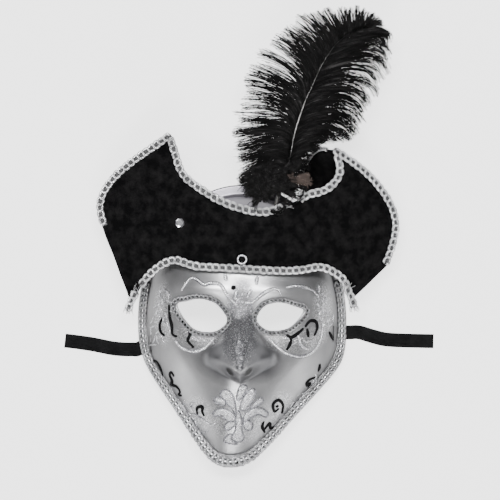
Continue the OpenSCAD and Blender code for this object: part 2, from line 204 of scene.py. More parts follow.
def nostril_z(x, y):
    deep = 0
    for (cx, cy), (long, wide), slant in NOSTRILS:
        c, s = np.cos(np.radians(slant)), np.sin(np.radians(slant))
        u, v = (x - cx) * c + (y - cy) * s, (y - cy) * c - (x - cx) * s
        deep = deep + np.exp(-((u / long) ** 2 + (v / wide) ** 2) ** 2)
    return NOSTRIL_DEPTH * deep


def relief_z(x, y):
    turn = y + 0.05 * x
    return (nose_z(x, y) - nostril_z(x, y)
            - 7 * mound(x + 34, turn - 1, 26, 13) - 7 * mound(x - 32, turn - 1, 26, 13)
            + 3 * mound(x + 36, turn - 22, 24, 8) + 3 * mound(x - 36, turn - 22, 24, 8)
            + 3 * mound(x + 44, y + 40, 24, 22) + 3 * mound(x - 44, y + 40, 24, 22)
            + 2 * mound(x + 3, y + 100, 18, 16))


def skin_z(x, y, inset=0.0):
    px, py = x - FACE_CENTRE[0], y - FACE_CENTRE[1]
    f = reach(px, py)
    edge_y = np.where(f < 0.05, 0, FACE_CENTRE[1] + py / np.maximum(f, 0.05))
    base = rim_z(edge_y)
    upper = ease((edge_y + 90) / 100)
    g = clamp01(f / (1 - RIM_W / SHELL_HALF_W) * (1 + inset / SHELL_HALF_W))
    rise = (1 - g ** 2.4) ** (0.95 - 0.43 * upper)
    return (base + SHELL_WALL - inset + (FACE_DEPTH - SHELL_WALL - base) * rise
            + relief_z(x, y) * ease((0.95 - g) * 4))


def skin_normal(x, y):
    d = 0.5
    return unit(np.stack([skin_z(x - d, y) - skin_z(x + d, y), skin_z(x, y - d) - skin_z(x, y + d),
                          np.full(np.shape(x), 2 * d)], axis=-1))


def on_skin(p):
    p = np.asarray(p, float)
    return np.column_stack([p, skin_z(*p.T)])


# ---- Hat surface --------------------------------------------------------------------------------

CARD_T = 2.0
VELVET_T = 1.2
BRIM_TOP = 66.6
WING_FALL = 0.5
BROW_BOW = 25
BRIM_LEAN = 0.05
FOREHEAD_Y = 42
FLAP_DROP = 3.8
FLAP_REACH = 44
HAT_STEPS = 8

FOREHEAD_POINTS = [(-92, 13), (-78, 34), (-58, 47), (-37, 42), (-1, 40), (34, 38), (50, 39), (67, 41),
                   (84, 31), (91, 15)]
RIGHT_WING_POINTS = [(121, 44), (127, 60), (129.5, 78), (124, 96), (110, 115), (93, 129), (77, 139)]
DIP_POINTS = [(77, 139), (81, 129), (80.5, 117), (70, 106), (54, 101), (38, 93), (16, 87), (-10, 93),
              (-32, 105), (-49, 119), (-56, 138), (-60, 151)]
LEFT_WING_POINTS = [(-60, 151), (-94, 128), (-112, 111), (-119.5, 94), (-116, 76)]
forehead_line = smooth_line(FOREHEAD_POINTS, HAT_STEPS)
right_wing_line = smooth_line(RIGHT_WING_POINTS, HAT_STEPS)
dip_line = smooth_line(DIP_POINTS, HAT_STEPS)
left_wing_line = smooth_line(LEFT_WING_POINTS, HAT_STEPS)
right_flap_top = smooth_line([(76, 137), (69, 141), (62, 139), (56, 132), (50, 120)], HAT_STEPS)
left_flap_top = smooth_line([(-64, 140), (-58, 126), (-54, 112)], HAT_STEPS)
right_hem = np.vstack([[(91, 15)], right_wing_line])
left_hem = np.vstack([left_wing_line, [(-92, 13)]])


def brim_z(x, y):
    return BRIM_TOP + BROW_BOW - np.hypot(BROW_BOW, WING_FALL * x) + BRIM_LEAN * (y - FOREHEAD_Y)


def brim_normal(x):
    return unit(np.stack([WING_FALL ** 2 * x / np.hypot(BROW_BOW, WING_FALL * x),
                          np.full(np.shape(x), -BRIM_LEAN), np.ones(np.shape(x))], axis=-1))


def flap_z(x, y, hem):
    gap = nearest_on(hem, np.column_stack([np.ravel(x), np.ravel(y)]), closed=False)[1]
    s = clamp01(1 - gap.reshape(np.shape(x)) / FLAP_REACH) ** 2
    return CARD_T + (brim_z(x, y) - FLAP_DROP - CARD_T) * s


# ---- Mesh helpers -------------------------------------------------------------------------------

def build(name, verts, faces, material, uv=None, body="root", smooth=True):
    """A piece from points in millimetres and faces that all have the same number of corners."""
    verts = np.asarray(verts, float) * MM
    faces = np.asarray(faces, np.int32)
    mesh = bpy.data.meshes.new(name)
    mesh.vertices.add(len(verts))
    mesh.vertices.foreach_set("co", verts.ravel())
    mesh.loops.add(faces.size)
    mesh.loops.foreach_set("vertex_index", faces.ravel())
    mesh.polygons.add(len(faces))
    mesh.polygons.foreach_set("loop_start", np.arange(0, faces.size, faces.shape[1], dtype=np.int32))
    mesh.polygons.foreach_set("use_smooth", np.full(len(faces), smooth))
    mesh.update(calc_edges=True)
    if uv is not None:
        layer = mesh.uv_layers.new(name="UVMap")
        layer.data.foreach_set("uv", np.asarray(uv, float)[faces.ravel()].ravel())
    mesh.validate()
    obj = bpy.data.objects.new(name, mesh)
    bpy.context.collection.objects.link(obj)
    obj.data.materials.append(material)
    if body:
        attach(obj, body)
    return obj


def make(name, shape, material):
    """A piece from the (points, faces, uv) of a tube, a merge or a feather."""
    verts, faces, uv = shape
    return build(name, verts, faces, material, uv)


def thicken(obj, thickness):
    """Gives a sheet a thickness in millimetres, below the surface that it has."""
    wall = obj.modifiers.new("wall", "SOLIDIFY")
    wall.thickness = thickness * MM
    wall.offset = -1
    shown = bpy.context.evaluated_depsgraph_get()
    mesh = bpy.data.meshes.new_from_object(obj.evaluated_get(shown))
    old = obj.data
    obj.modifiers.clear()
    obj.data = mesh
    bpy.data.meshes.remove(old)


def tube(path, radius, sides, ups=None, closed=False, flat=1.0):
    """Points, faces and UV (millimetres along, turn) of a tube; flat squeezes it along ups."""
    path = np.asarray(path, float)
    n = len(path)
    radius = np.broadcast_to(np.asarray(radius, float), (n,))
    t = along(path, closed)
    ups = np.tile([0.0, 0.0, 1.0], (n, 1)) if ups is None else np.asarray(ups, float)
    side = unit(np.cross(t, ups))
    up = np.cross(side, t)
    a = 2 * np.pi * np.arange(sides) / sides
    ring = (np.cos(a)[None, :, None] * side[:, None] + flat * np.sin(a)[None, :, None] * up[:, None])
    verts = (path[:, None] + radius[:, None, None] * ring).reshape(-1, 3)
    last = n if closed else n - 1
    i, j = np.meshgrid(np.arange(last), np.arange(sides), indexing="ij")
    a0 = i * sides + j
    a1 = i * sides + (j + 1) % sides
    b0 = ((i + 1) % n) * sides + j
    b1 = ((i + 1) % n) * sides + (j + 1) % sides
    faces = np.stack([a0, a1, b1, b0], axis=-1).reshape(-1, 4)
    run = distances(path)
    uv = every_pair(run, np.arange(sides) / sides)
    if not closed:
        faces = np.vstack([faces, np.array(end_caps(n, sides))])
    return verts, faces, uv


def end_caps(n, sides):
    """Quads that close both ends of a tube with an even number of sides."""
    quads = []
    for base, turn in ((0, -1), ((n - 1) * sides, 1)):
        loop = (base + np.arange(sides))[::turn]
        for k in range(sides // 2 - 1):
            quads.append([loop[k], loop[k + 1], loop[sides - 2 - k], loop[sides - 1 - k]])
    return quads


def merge(parts):
    """Several (points, faces, uv) as one."""
    verts, faces, uvs, base = [], [], [], 0
    for v, f, u in parts:
        verts.append(v)
        faces.append(np.asarray(f) + base)
        uvs.append(u)
        base += len(v)
    return np.vstack(verts), np.vstack(faces), np.vstack(uvs)


# ---- Materials ----------------------------------------------------------------------------------

class Look:
    """A principled material and the short calls that add detail to it."""

    def __init__(self, name, **values):
        self.material = bpy.data.materials.new(name)
        self.material.use_nodes = True
        self.nodes = self.material.node_tree.nodes
        self.links = self.material.node_tree.links
        self.shader = self.nodes["Principled BSDF"]
        self.coords = self.nodes.new("ShaderNodeTexCoord")
        for key, value in values.items():
            self.shader.inputs[key.replace("_", " ")].default_value = value

    def node(self, kind, **values):
        made = self.nodes.new("ShaderNode" + kind)
        for key, value in values.items():
            if hasattr(made, key):
                setattr(made, key, value)
            else:
                made.inputs[key.replace("_", " ")].default_value = value
        return made

    def link(self, a, b):
        self.links.new(a, b)

    def place(self, scale, source="Object"):
        mapping = self.node("Mapping")
        mapping.inputs["Scale"].default_value = scale if hasattr(scale, "__len__") else (scale,) * 3
        self.link(self.coords.outputs[source], mapping.inputs["Vector"])
        return mapping.outputs["Vector"]

    def noise(self, scale, detail=3.0, roughness=0.5, at=None):
        made = self.node("TexNoise", Scale=scale, Detail=detail, Roughness=roughness)
        self.link(at or self.coords.outputs["Object"], made.inputs["Vector"])
        return made.outputs["Fac"]

    def ramp(self, value, stops):
        made = self.nodes.new("ShaderNodeValToRGB")
        band = made.color_ramp.elements
        while len(band) < len(stops):
            band.new(0.5)
        for spot, (place, colour) in zip(band, stops):
            spot.position = place
            shade = colour if hasattr(colour, "__len__") else (colour, colour, colour)
            spot.color = (*shade, 1)
        self.link(value, made.inputs["Fac"])
        return made.outputs["Color"]

    def mix(self, factor, a, b, blend="MIX"):
        made = self.node("Mix", data_type="RGBA", blend_type=blend)
        for socket, value in ((made.inputs[0], factor), (made.inputs[6], a), (made.inputs[7], b)):
            if isinstance(value, bpy.types.NodeSocket):
                self.link(value, socket)
            else:
                socket.default_value = (*value, 1) if hasattr(value, "__len__") else value
        return made.outputs[2]

    def math(self, operation, a, b=0.0):
        made = self.node("Math", operation=operation)
        for socket, value in zip(made.inputs, (a, b)):
            if isinstance(value, bpy.types.NodeSocket):
                self.link(value, socket)
            else:
                socket.default_value = value
        return made.outputs[0]

    def times(self, a, b):
        return self.math("MULTIPLY", a, b)

    def fade(self, value, near, full, far):
        """full where half of a value is under near, and nothing where it is over far."""
        return self.ramp(self.times(value, 0.5), [(near, full), (far, 0.0)])

    def spot(self, centre, half, slant=0):
        """0 at a place on the face and 1 on an ellipse round it, in millimetres and degrees."""
        move = self.node("Mapping", vector_type="TEXTURE")
        move.inputs["Location"].default_value = (centre[0] * MM, centre[1] * MM, 0)
        move.inputs["Rotation"].default_value = (0, 0, math.radians(slant))
        size = self.node("Mapping")
        size.inputs["Scale"].default_value = (1 / (half[0] * MM), 1 / (half[1] * MM), 0)
        self.link(self.coords.outputs["Object"], move.inputs["Vector"])
        self.link(move.outputs["Vector"], size.inputs["Vector"])
        length = self.node("VectorMath", operation="LENGTH")
        self.link(size.outputs["Vector"], length.inputs[0])
        return length.outputs["Value"]

    def flakes(self, scale):
        """The random tone, the random gloss and the slope of tiny glitter flakes."""
        cells = self.node("TexVoronoi", Scale=scale)
        self.link(self.coords.outputs["Object"], cells.inputs["Vector"])
        shade = self.node("SeparateColor")
        self.link(cells.outputs["Color"], shade.inputs["Color"])
        slope = self.math("FRACT", self.times(cells.outputs["Distance"], 7.0))
        return shade.outputs["Red"], shade.outputs["Green"], slope

    def bump(self, height, distance, strength=1.0, under=None):
        made = self.node("Bump", Strength=strength, Distance=distance * MM)
        self.link(height, made.inputs["Height"])
        if under:
            self.link(under, made.inputs["Normal"])
        self.link(made.outputs["Normal"], self.shader.inputs["Normal"])
        return made.outputs["Normal"]

    def colour(self, socket):
        self.link(socket, self.shader.inputs["Base Color"])

    def rough(self, socket):
        self.link(socket, self.shader.inputs["Roughness"])


# Dusted with glitter: middle and half size
EYE_GLITTER = [((-38, -16), (24, 11)), ((44, -19), (26, 13)), ((-66, 2), (9, 28)), ((68, 4), (9, 26)),
               ((-3, -84), (28, 24)), ((-38, -84), (12, 18)), ((34, -80), (12, 18))]


def silver_paint():
    """Sprayed silver over lilac plastic, with painted shade on the rougher flanks and on the crown under the
    hat, the crown tinted lilac too, and darker on the nose.
    """
    look = Look("silver_paint", Metallic=0.88, IOR=1.5, Coat_Roughness=0.12)
    tip = look.fade(look.spot((-1.7, -42), (7, 10)), 0.25, 1.0, 0.5)
    look.link(tip, look.shader.inputs["Coat Weight"])
    cloud = look.noise(38, 4, 0.6)
    grain = look.noise(2600, 2, 0.6)
    base = look.ramp(cloud, [(0.3, (0.19, 0.19, 0.195)), (0.7, (0.27, 0.27, 0.275))])
    base = look.mix(look.times(grain, 0.3), base, (0.52, 0.52, 0.53))
    axes = look.node("SeparateXYZ")
    look.link(look.coords.outputs["Object"], axes.inputs["Vector"])
    side = look.times(look.math("ABSOLUTE", axes.outputs["X"]), 10.0)
    # painted shade: the flanks are coloured darker; the same mask makes them rougher
    flank_shade_and_roughness = look.ramp(side, [(0.5, 0.0), (0.7, 1.0)])
    base = look.mix(look.times(flank_shade_and_roughness, 0.7), base, (0.11, 0.11, 0.112))
    # painted shade under the hat brim on the crown, with a faint lilac tint of unpainted plastic
    crown = look.ramp(look.times(axes.outputs["Y"], 10.0), [(0.84, 0.0), (0.90, 1.0)])
    base = look.mix(crown, base, (0.135, 0.13, 0.145))
    nose = look.math("ADD", look.spot((-1.5, -35), (37, 22)), look.times(cloud, 0.2))
    base = look.mix(look.fade(nose, 0.40, 0.9, 0.62), base, (0.055, 0.055, 0.059))
    tone, _, slope = look.flakes(1500)
    dust = look.ramp(tone, [(0.1, (0.03, 0.03, 0.033)), (0.8, (0.11, 0.11, 0.118)),
                            (0.97, (0.42, 0.42, 0.44))])
    place = look.math("ADD", look.spot((-1.5, -8), (16, 40)), look.times(cloud, 0.5))
    cover = look.fade(place, 0.46, 1.0, 0.66)
    coat = look.mix(look.times(cover, 0.8), base, dust)
    sparkle = look.ramp(tone, [(0.2, (0.16, 0.16, 0.165)), (0.7, (0.42, 0.42, 0.43)),
                               (0.95, (0.9, 0.9, 0.92))])
    for centre, half in EYE_GLITTER:
        patch = look.math("ADD", look.spot(centre, half), look.times(cloud, 0.3))
        coat = look.mix(look.fade(patch, 0.4, 0.55, 0.62), coat, sparkle)
    # painted shade: the nostril hollows are coloured near-black
    for centre, half, slant in NOSTRILS:
        nostril_shade = look.fade(look.spot(centre, half, slant), 0.42, 1.0, 0.55)
        coat = look.mix(nostril_shade, coat, (0.006, 0.006, 0.006))
    look.colour(coat)
    satin_coat = look.ramp(look.noise(60, 3), [(0.3, 0.35), (0.75, 0.42)])
    look.rough(look.mix(look.times(flank_shade_and_roughness, 0.8), satin_coat, (0.6, 0.6, 0.6)))
    orange_peel = look.bump(look.noise(420, 3, 0.55), 0.2, 0.4)
    rough_dust = look.bump(look.times(slope, cover), 0.12, 0.5, orange_peel)
    look.bump(grain, 0.03, 0.4, rough_dust)
    return look.material


def glitter(name, dark, bright, metallic=0.9, shine=0.5):
    """Glitter glue: tiny flakes, each at its own angle."""
    look = Look(name, Metallic=metallic, Specular_IOR_Level=shine)
    tone, gloss, slope = look.flakes(1900)
    look.colour(look.ramp(tone, [(0.25, dark), (0.95, bright)]))
    look.rough(look.ramp(gloss, [(0.0, 0.22), (1.0, 0.5)]))
    look.bump(slope, 0.12, 0.6)
    return look.material


def braid_thread(name, thread, gap, shine=0.28):
    """Metallised thread wound round a cord, with painted shade where a strand dives under the other and in
    the grooves between turns of the winding.
    """
    look = Look(name, Metallic=0.85)
    axes = look.node("SeparateXYZ")
    look.link(look.coords.outputs["UV"], axes.inputs["Vector"])
    turn, around = axes.outputs["X"], axes.outputs["Y"]
    winding = look.math("SINE", look.math("ADD", look.times(turn, 200.0),
                                          look.times(around, 2 * math.pi)))
    wound = look.math("ADD", look.times(winding, 0.5), 0.5)
    swing = look.math("SINE", look.math("ADD", look.times(turn, 2 * math.pi), math.pi / 2))
    under = look.math("ADD", look.times(swing, 0.5), 0.5)
    worn = look.noise(140, 3)
    thread_tone_and_shade = look.mix(look.ramp(worn, [(0.35, 0.0), (0.7, 1.0)]), thread, [c * 0.42 for c in thread])
    # painted shade in the grooves between turns of the winding
    thread_tone_and_shade = look.mix(look.ramp(wound, [(0.05, 0.0), (0.3, 1.0)]), [c * 0.45 for c in thread], thread_tone_and_shade)
    # painted shade: a strand takes the near-black gap colour where it dives under the other
    look.colour(look.mix(look.ramp(under, [(0.04, 0.0), (0.34, 1.0)]), gap, thread_tone_and_shade))
    look.rough(look.ramp(worn, [(0.3, shine), (0.8, shine + 0.14)]))
    look.bump(wound, 0.22, 0.8)
    return look.material


def braid_shade_strip():
    """Painted shade: a dark strip under the strands, with a fine bumpy texture, that shows in the gaps
    between them.
    """
    look = Look("braid_shade_strip", Roughness=0.85)
    look.colour(look.ramp(look.noise(700, 3), [(0.3, (0.008, 0.008, 0.008)), (0.8, (0.05, 0.05, 0.052))]))
    look.bump(look.noise(1500, 2), 0.1, 0.6)
    return look.material


def velvet():
    """Crushed black velvet: deep pile that greys where it lies over."""
    look = Look("black_velvet", Roughness=0.95, Sheen_Weight=0.04, Sheen_Roughness=0.35,
                Sheen_Tint=(0.5, 0.5, 0.52, 1), Specular_IOR_Level=0.02)
    crush = look.noise(120, 4, 0.62)
    pile = look.noise(2300, 2, 0.7)
    tone = look.ramp(crush, [(0.4, (0.0007, 0.0007, 0.0008)), (0.75, (0.0062, 0.006, 0.0061))])
    look.colour(look.mix(look.times(pile, 0.5), tone, (0.002, 0.002, 0.0021)))
    soft = look.bump(crush, 0.9, 0.4)
    look.bump(pile, 0.16, 0.8, soft)
    return look.material


def satin():
    """Black satin: a close weave with a soft gloss along the ribbon."""
    look = Look("black_satin", Anisotropic=0.5, Specular_IOR_Level=0.02)
    look.colour(look.ramp(look.noise(110, 3),
                          [(0.3, (0.0007, 0.0007, 0.0008)), (0.75, (0.0024, 0.0024, 0.0027))]))
    bands = []
    for direction, scale in (("Y", 1.3), ("X", 0.7)):
        wave = look.node("TexWave", wave_type="BANDS", bands_direction=direction, Scale=scale)
        look.link(look.place(1, "UV"), wave.inputs["Vector"])
        bands.append(wave.outputs["Fac"])
    look.rough(look.ramp(look.noise(90, 2), [(0.3, 0.38), (0.8, 0.52)]))
    weave = look.bump(bands[0], 0.05, 0.5)
    look.bump(bands[1], 0.03, 0.3, weave)
    return look.material


def plume(name, dark, pale):
    """Dyed ostrich barbs: black, with a painted sheen of paler streaks that changes from tuft to tuft; UV is
    (along, tuft).
    """
    look = Look(name, Roughness=0.6, Specular_IOR_Level=0.05)
    sheen_streak = look.noise(1.0, 2, 0.6, at=look.place((2.2, 60, 1), "UV"))
    between = [(a + b) / 3 for a, b in zip(dark, pale)]
    # painted sheen: the paler streaks stand in for the gloss on the barbs
    look.colour(look.ramp(sheen_streak, [(0.48, dark), (0.62, between), (0.74, pale)]))
    look.bump(look.noise(1500, 2), 0.05, 0.5)
    return look.material


def quill_horn():
    """A dark dyed shaft, paler for a short way."""
    look = Look("quill_horn", Coat_Weight=0.2, Coat_Roughness=0.3)
    horn = look.ramp(look.noise(160, 3, at=look.place((1, 0.15, 1))),
                     [(0.3, (0.05, 0.047, 0.045)), (0.75, (0.13, 0.125, 0.12))])
    paler_stretch = look.fade(look.spot((48.6, 167), (12, 12)), 0.35, 1.0, 0.6)
    look.colour(look.mix(paler_stretch, (0.012, 0.011, 0.010), horn))
    look.rough(look.ramp(look.noise(300, 2), [(0.3, 0.32), (0.8, 0.5)]))
    look.bump(look.noise(700, 2, at=look.place((1, 0.1, 1))), 0.08, 0.5)
    return look.material


def ring_metal():
    look = Look("ring_metal", Metallic=1.0)
    worn = look.noise(900, 3)
    look.colour(look.ramp(worn, [(0.3, (0.08, 0.08, 0.085)), (0.75, (0.34, 0.34, 0.35))]))
    look.rough(look.ramp(worn, [(0.3, 0.2), (0.8, 0.42)]))
    look.bump(look.noise(2500, 2), 0.02, 0.4)
    return look.material


def stone_glass():
    look = Look("stone_glass", Metallic=0.9, IOR=1.7, Coat_Weight=1.0, Coat_Roughness=0.03)
    look.colour(look.ramp(look.noise(500, 2), [(0.3, (0.62, 0.62, 0.66)), (0.7, (0.92, 0.92, 0.95))]))
    look.rough(look.ramp(look.noise(900, 2), [(0.3, 0.05), (0.8, 0.14)]))
    return look.material


def card_board():
    look = Look("brim_card_dark", Roughness=0.9)
    look.colour(look.ramp(look.noise(500, 4, 0.7), [(0.3, (0.02, 0.02, 0.02)), (0.8, (0.05, 0.048, 0.045))]))
    look.bump(look.noise(1400, 3), 0.08, 0.5)
    return look.material


def floor_paint():
    """A white sweep that glows a little, as a lit studio table does."""
    look = Look("floor_paint", Roughness=0.8, Emission_Color=(1, 1, 1, 1), Emission_Strength=2.2,
                Specular_IOR_Level=0.1)
    look.colour(look.ramp(look.noise(3, 2), [(0.3, (0.27, 0.27, 0.27)), (0.8, (0.28, 0.28, 0.28))]))
    return look.material


SILVER = silver_paint()
GLITTER_SILVER = glitter("glitter_silver", (0.26, 0.26, 0.27), (0.7, 0.7, 0.72))
GLITTER_PETAL = glitter("glitter_petal", (0.24, 0.24, 0.25), (0.58, 0.58, 0.6))
# dark glitter for the palmette outlines, and painted shade for the borders round the silver strokes
DARK_GLITTER_AND_SHADE = glitter("glitter_dark_and_shade", (0.05, 0.05, 0.055), (0.26, 0.26, 0.28), 0.7)
GLITTER_BLACK = glitter("glitter_black", (0.0008, 0.0008, 0.0008), (0.004, 0.004, 0.0045), 0.0, 0.03)
# The last colour of each braid is the painted shade where a strand dives under.
BRAID_SILVER = braid_thread("braid_silver", (0.66, 0.66, 0.67), (0.02, 0.02, 0.02))
# painted shade: the edge braids use the hat's silver braid coloured darker, as it looks in shade
BRAID_SHADED = braid_thread("braid_shaded", (0.46, 0.46, 0.47), (0.012, 0.012, 0.012))
BRAID_EYE = braid_thread("braid_eye", (0.34, 0.34, 0.35), (0.006, 0.006, 0.006))
SHADE_STRIP = braid_shade_strip()
VELVET = velvet()
SATIN = satin()
PLUME = plume("plume_black", (0.0006, 0.0006, 0.0006), (0.026, 0.025, 0.025))
DOWN = plume("plume_down", (0.030, 0.023, 0.020), (0.10, 0.075, 0.066))
QUILL = quill_horn()
RING = ring_metal()
STONE = stone_glass()
CARD = card_board()
FLOOR = floor_paint()


# ---- Camera, light and floor --------------------------------------------------------------------

VIEW_CENTRE = (6.7, 55.4)
VIEW_WIDTH = 420
CAMERA_HEIGHT = 2600
FACE_PLANE = 45
FLOOR_HALF = 3000


def add_camera():
    data = bpy.data.cameras.new("camera")
    data.sensor_width = 36
    data.lens = data.sensor_width * (CAMERA_HEIGHT - FACE_PLANE) / VIEW_WIDTH
    data.clip_end = 20
    made = bpy.data.objects.new("camera", data)
    made.location = (VIEW_CENTRE[0] * MM, VIEW_CENTRE[1] * MM, CAMERA_HEIGHT * MM)
    bpy.context.collection.objects.link(made)
    bpy.context.scene.camera = made


def add_light(name, place, target, size, watts, size_y=None):
    data = bpy.data.lights.new(name, "AREA")
    data.shape = "RECTANGLE" if size_y else "SQUARE"
    data.size = size
    if size_y:
        data.size_y = size_y
    data.energy = watts
    made = bpy.data.objects.new(name, data)
    made.location = place
    made.rotation_euler = (Vector(target) - Vector(place)).to_track_quat("-Z", "Y").to_euler()
    bpy.context.collection.objects.link(made)


def add_sky():
    """A bright band overhead from crown to chin that falls off to both sides."""
    world = bpy.data.worlds.new("studio")
    world.use_nodes = True
    nodes, links = world.node_tree.nodes, world.node_tree.links
    coords = nodes.new("ShaderNodeTexCoord")
    axes = nodes.new("ShaderNodeSeparateXYZ")
    links.new(coords.outputs["Generated"], axes.inputs["Vector"])
    side = nodes.new("ShaderNodeMath")
    side.operation = "ABSOLUTE"
    links.new(axes.outputs["X"], side.inputs[0])
    fall = nodes.new("ShaderNodeValToRGB")
    band = fall.color_ramp.elements
    band.new(0.45)
    for spot, (place, shade) in zip(band, ((0.2, 1.0), (0.55, 0.25), (0.95, 0.08))):
        spot.position = place
        spot.color = (shade, shade, shade, 1)
    links.new(side.outputs[0], fall.inputs["Fac"])
    links.new(fall.outputs["Color"], nodes["Background"].inputs["Color"])
    nodes["Background"].inputs["Strength"].default_value = 0.5
    bpy.context.scene.world = world


def add_studio():
    add_sky()
    aim = (0, 0.03, 0.04)
    add_light("key", (-0.05, 0.65, 2.0), aim, 1.0, 135, size_y=0.4)
    add_light("front", (-0.05, -0.95, 1.8), aim, 0.7, 50, size_y=0.3)
    add_light("chin", (0, -1.7, 0.6), aim, 0.5, 18)
    edge = FLOOR_HALF
    floor = build("floor", [(-edge, -edge, 0), (edge, -edge, 0), (edge, edge, 0), (-edge, edge, 0)],
                  [(0, 1, 2, 3)], FLOOR, body=None, smooth=False)


add_camera()
add_studio()


# ---- Ties ---------------------------------------------------------------------------------------

HINGE_X = 92.5
TIE_Z = 0.05
RIBBON_W = 12
RIBBON_T = 0.8
SLOT_X = 77.5
SLOT_W = 1.6
SLOT_GLUE = 0.05
SATIN_T = 0.42
LEFT_TAIL = [(-92.5, -29.5), (-100, -29.5), (-111, -28.5), (-126, -25.5), (-139, -23.5), (-151.5, -22)]
RIGHT_TAIL = [(92.5, -15), (100, -15), (112, -18.5), (123, -21), (140, -22), (163.5, -22.5)]
TIES = {"left": (-1, -25, LEFT_TAIL), "right": (1, -15, RIGHT_TAIL)}


def anchor_path(side, y, exit_y):
    """Down the slot against its outer wall, then out under the rim."""
    wall = SLOT_X + SLOT_W / 2
    x = wall - RIBBON_T - SLOT_GLUE
    top = float(skin_z(np.array(side * wall), np.array(float(y)))) + 1
    return np.array([(side * px, py, pz) for px, py, pz in (
        (x, y, top), (x, y, 1.9), (x + 0.3, y, 0.9), (x + 1.5, y, 0.2), (x + 3.4, y, TIE_Z),
        (HINGE_X - 3, exit_y, TIE_Z), (HINGE_X, exit_y, TIE_Z))])


def add_tie(name):
    side, slot_y, tail = TIES[name]
    anchor = smooth_line(anchor_path(side, slot_y, tail[0][1]), 8)
    free = smooth_line([(x, y, TIE_Z) for x, y in tail], 10)
    line = even_line(np.vstack([anchor, free[1:]]), 0.8)
    t = along(line)
    across = unit(np.column_stack([-t[:, 1] * side, np.abs(t[:, 0]) + np.abs(t[:, 2]) + 1e-3, 0 * t[:, 0]]))
    up = unit(np.cross(t, across)) * side
    run = distances(line)
    out = np.abs(line[:, 0]) > HINGE_X
    lift = np.where(out, 0.35 * (1 - np.cos((np.abs(line[:, 0]) - HINGE_X) / 9.0)), 0)
    cols = 13
    v = np.linspace(-0.5, 0.5, cols)
    body = []
    for level in (0.0, SATIN_T):
        rim = RIBBON_W * v[None, :, None] * across[:, None]
        arch = (0.16 * np.sin(v * 2 * np.pi * 1.5)[None, :] * np.minimum(1, lift / 0.2)[:, None])
        height = (level + lift[:, None] + np.abs(arch))[..., None] * up[:, None]
        body.append(line[:, None] + rim + height)
    n = len(line)
    verts = np.vstack([b.reshape(-1, 3) for b in body])
    verts[:, 2] = np.maximum(verts[:, 2], 0.03)
    i, j = np.meshgrid(np.arange(n - 1), np.arange(cols - 1), indexing="ij")
    a = i * cols + j
    low = np.stack([a, a + cols, a + cols + 1, a + 1], -1).reshape(-1, 4)
    high = low[:, ::-1] + n * cols
    edge = np.concatenate([np.arange(cols), cols - 1 + cols * np.arange(1, n), (n - 1) * cols
                           + np.arange(cols - 2, -1, -1), cols * np.arange(n - 2, 0, -1)])
    nxt = np.roll(edge, -1)
    wall = np.stack([edge, nxt, nxt + n * cols, edge + n * cols], -1)
    uv = every_pair(run, v * RIBBON_W)
    piece = build("tie_" + name, verts, np.vstack([low, high, wall]), SATIN, np.vstack([uv, uv]), body=None)
    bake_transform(piece)
    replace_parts(piece, "ribbon_anchor_" + name, "ribbon_tail_" + name)


add_tie("left")
add_tie("right")


# ---- Shell --------------------------------------------------------------------------------------

EYE_LEFT = smooth_line([(-55, 8.5), (-46, 12.5), (-35, 14.5), (-22, 10.5), (-12.5, -2), (-18, -10),
                        (-28, -13), (-42, -9)], 12, closed=True)
EYE_RIGHT = smooth_line([(52, 3.5), (43, 8.5), (31, 11.5), (19, 8.5), (12.5, -1.5), (17, -9), (26, -12),
                         (40, -9)], 12, closed=True)
SLOT_L = RIBBON_W + 1
MESH_SHIFT = np.array([-1.5, -33.0])


def slot_outline(side, y):
    x, w, l = side * SLOT_X, SLOT_W / 2, SLOT_L / 2
    return np.array([(x - w, y - l), (x + w, y - l), (x + w, y + l), (x - w, y + l)], float)


def cut(verts_xy, faces, outline):
    """Drops the faces inside an outline and pulls the ragged edge onto it."""
    within = inside(outline, *verts_xy[faces].mean(axis=1).T)
    keep = faces[~within]
    rim = np.intersect1d(keep, faces[within])
    verts_xy[rim] = nearest_on(outline, verts_xy[rim])[0]
    return keep


def add_shell():
    spokes, rings = 420, 170
    r = (1 - RIM_W / SHELL_HALF_W) * np.sin(np.pi / 2 * np.arange(1, rings + 1) / rings)
    r = np.concatenate([r, np.linspace(r[-1], 1, 7)[1:]])
    edge = outline_point(360 * np.arange(spokes) / spokes)
    grid = (FACE_CENTRE + r[:, None, None] * (edge - FACE_CENTRE)[None]
            + ((1 - r) ** 2)[:, None, None] * MESH_SHIFT)
    xy = grid.reshape(-1, 2)
    i, j = np.meshgrid(np.arange(len(r) - 1), np.arange(spokes), indexing="ij")
    a = i * spokes + j
    b = i * spokes + (j + 1) % spokes
    faces = np.stack([a, a + spokes, b + spokes, b], -1).reshape(-1, 4)
    centre = np.arange(0, spokes, 2)
    hub = len(xy)
    xy = np.vstack([xy, FACE_CENTRE + MESH_SHIFT])
    fan = np.stack([np.full(len(centre), hub), centre, centre + 1, (centre + 2) % spokes], -1)
    faces = np.vstack([faces, fan])
    slots = [slot_outline(side, y) for side, y, _ in TIES.values()]
    for outline in (EYE_LEFT, EYE_RIGHT, *slots):
        faces = cut(xy, faces, outline)
    verts = np.column_stack([xy, skin_z(*xy.T)])
    shell = build("shell", verts, faces, SILVER)
    thicken(shell, SHELL_WALL)
    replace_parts(shell, "face_shell")


add_shell()


# ---- Braids -------------------------------------------------------------------------------------

# Shares of a braid's width: the radius of its two cords, and half the width of the dark strip of painted
# shade under them
CORD_SHARE = 0.155
SHADE_STRIP_SHARE = 0.4
# How far a cord leans forward in each loop, as a share of the loop
LOOP_LEAN = 0.17


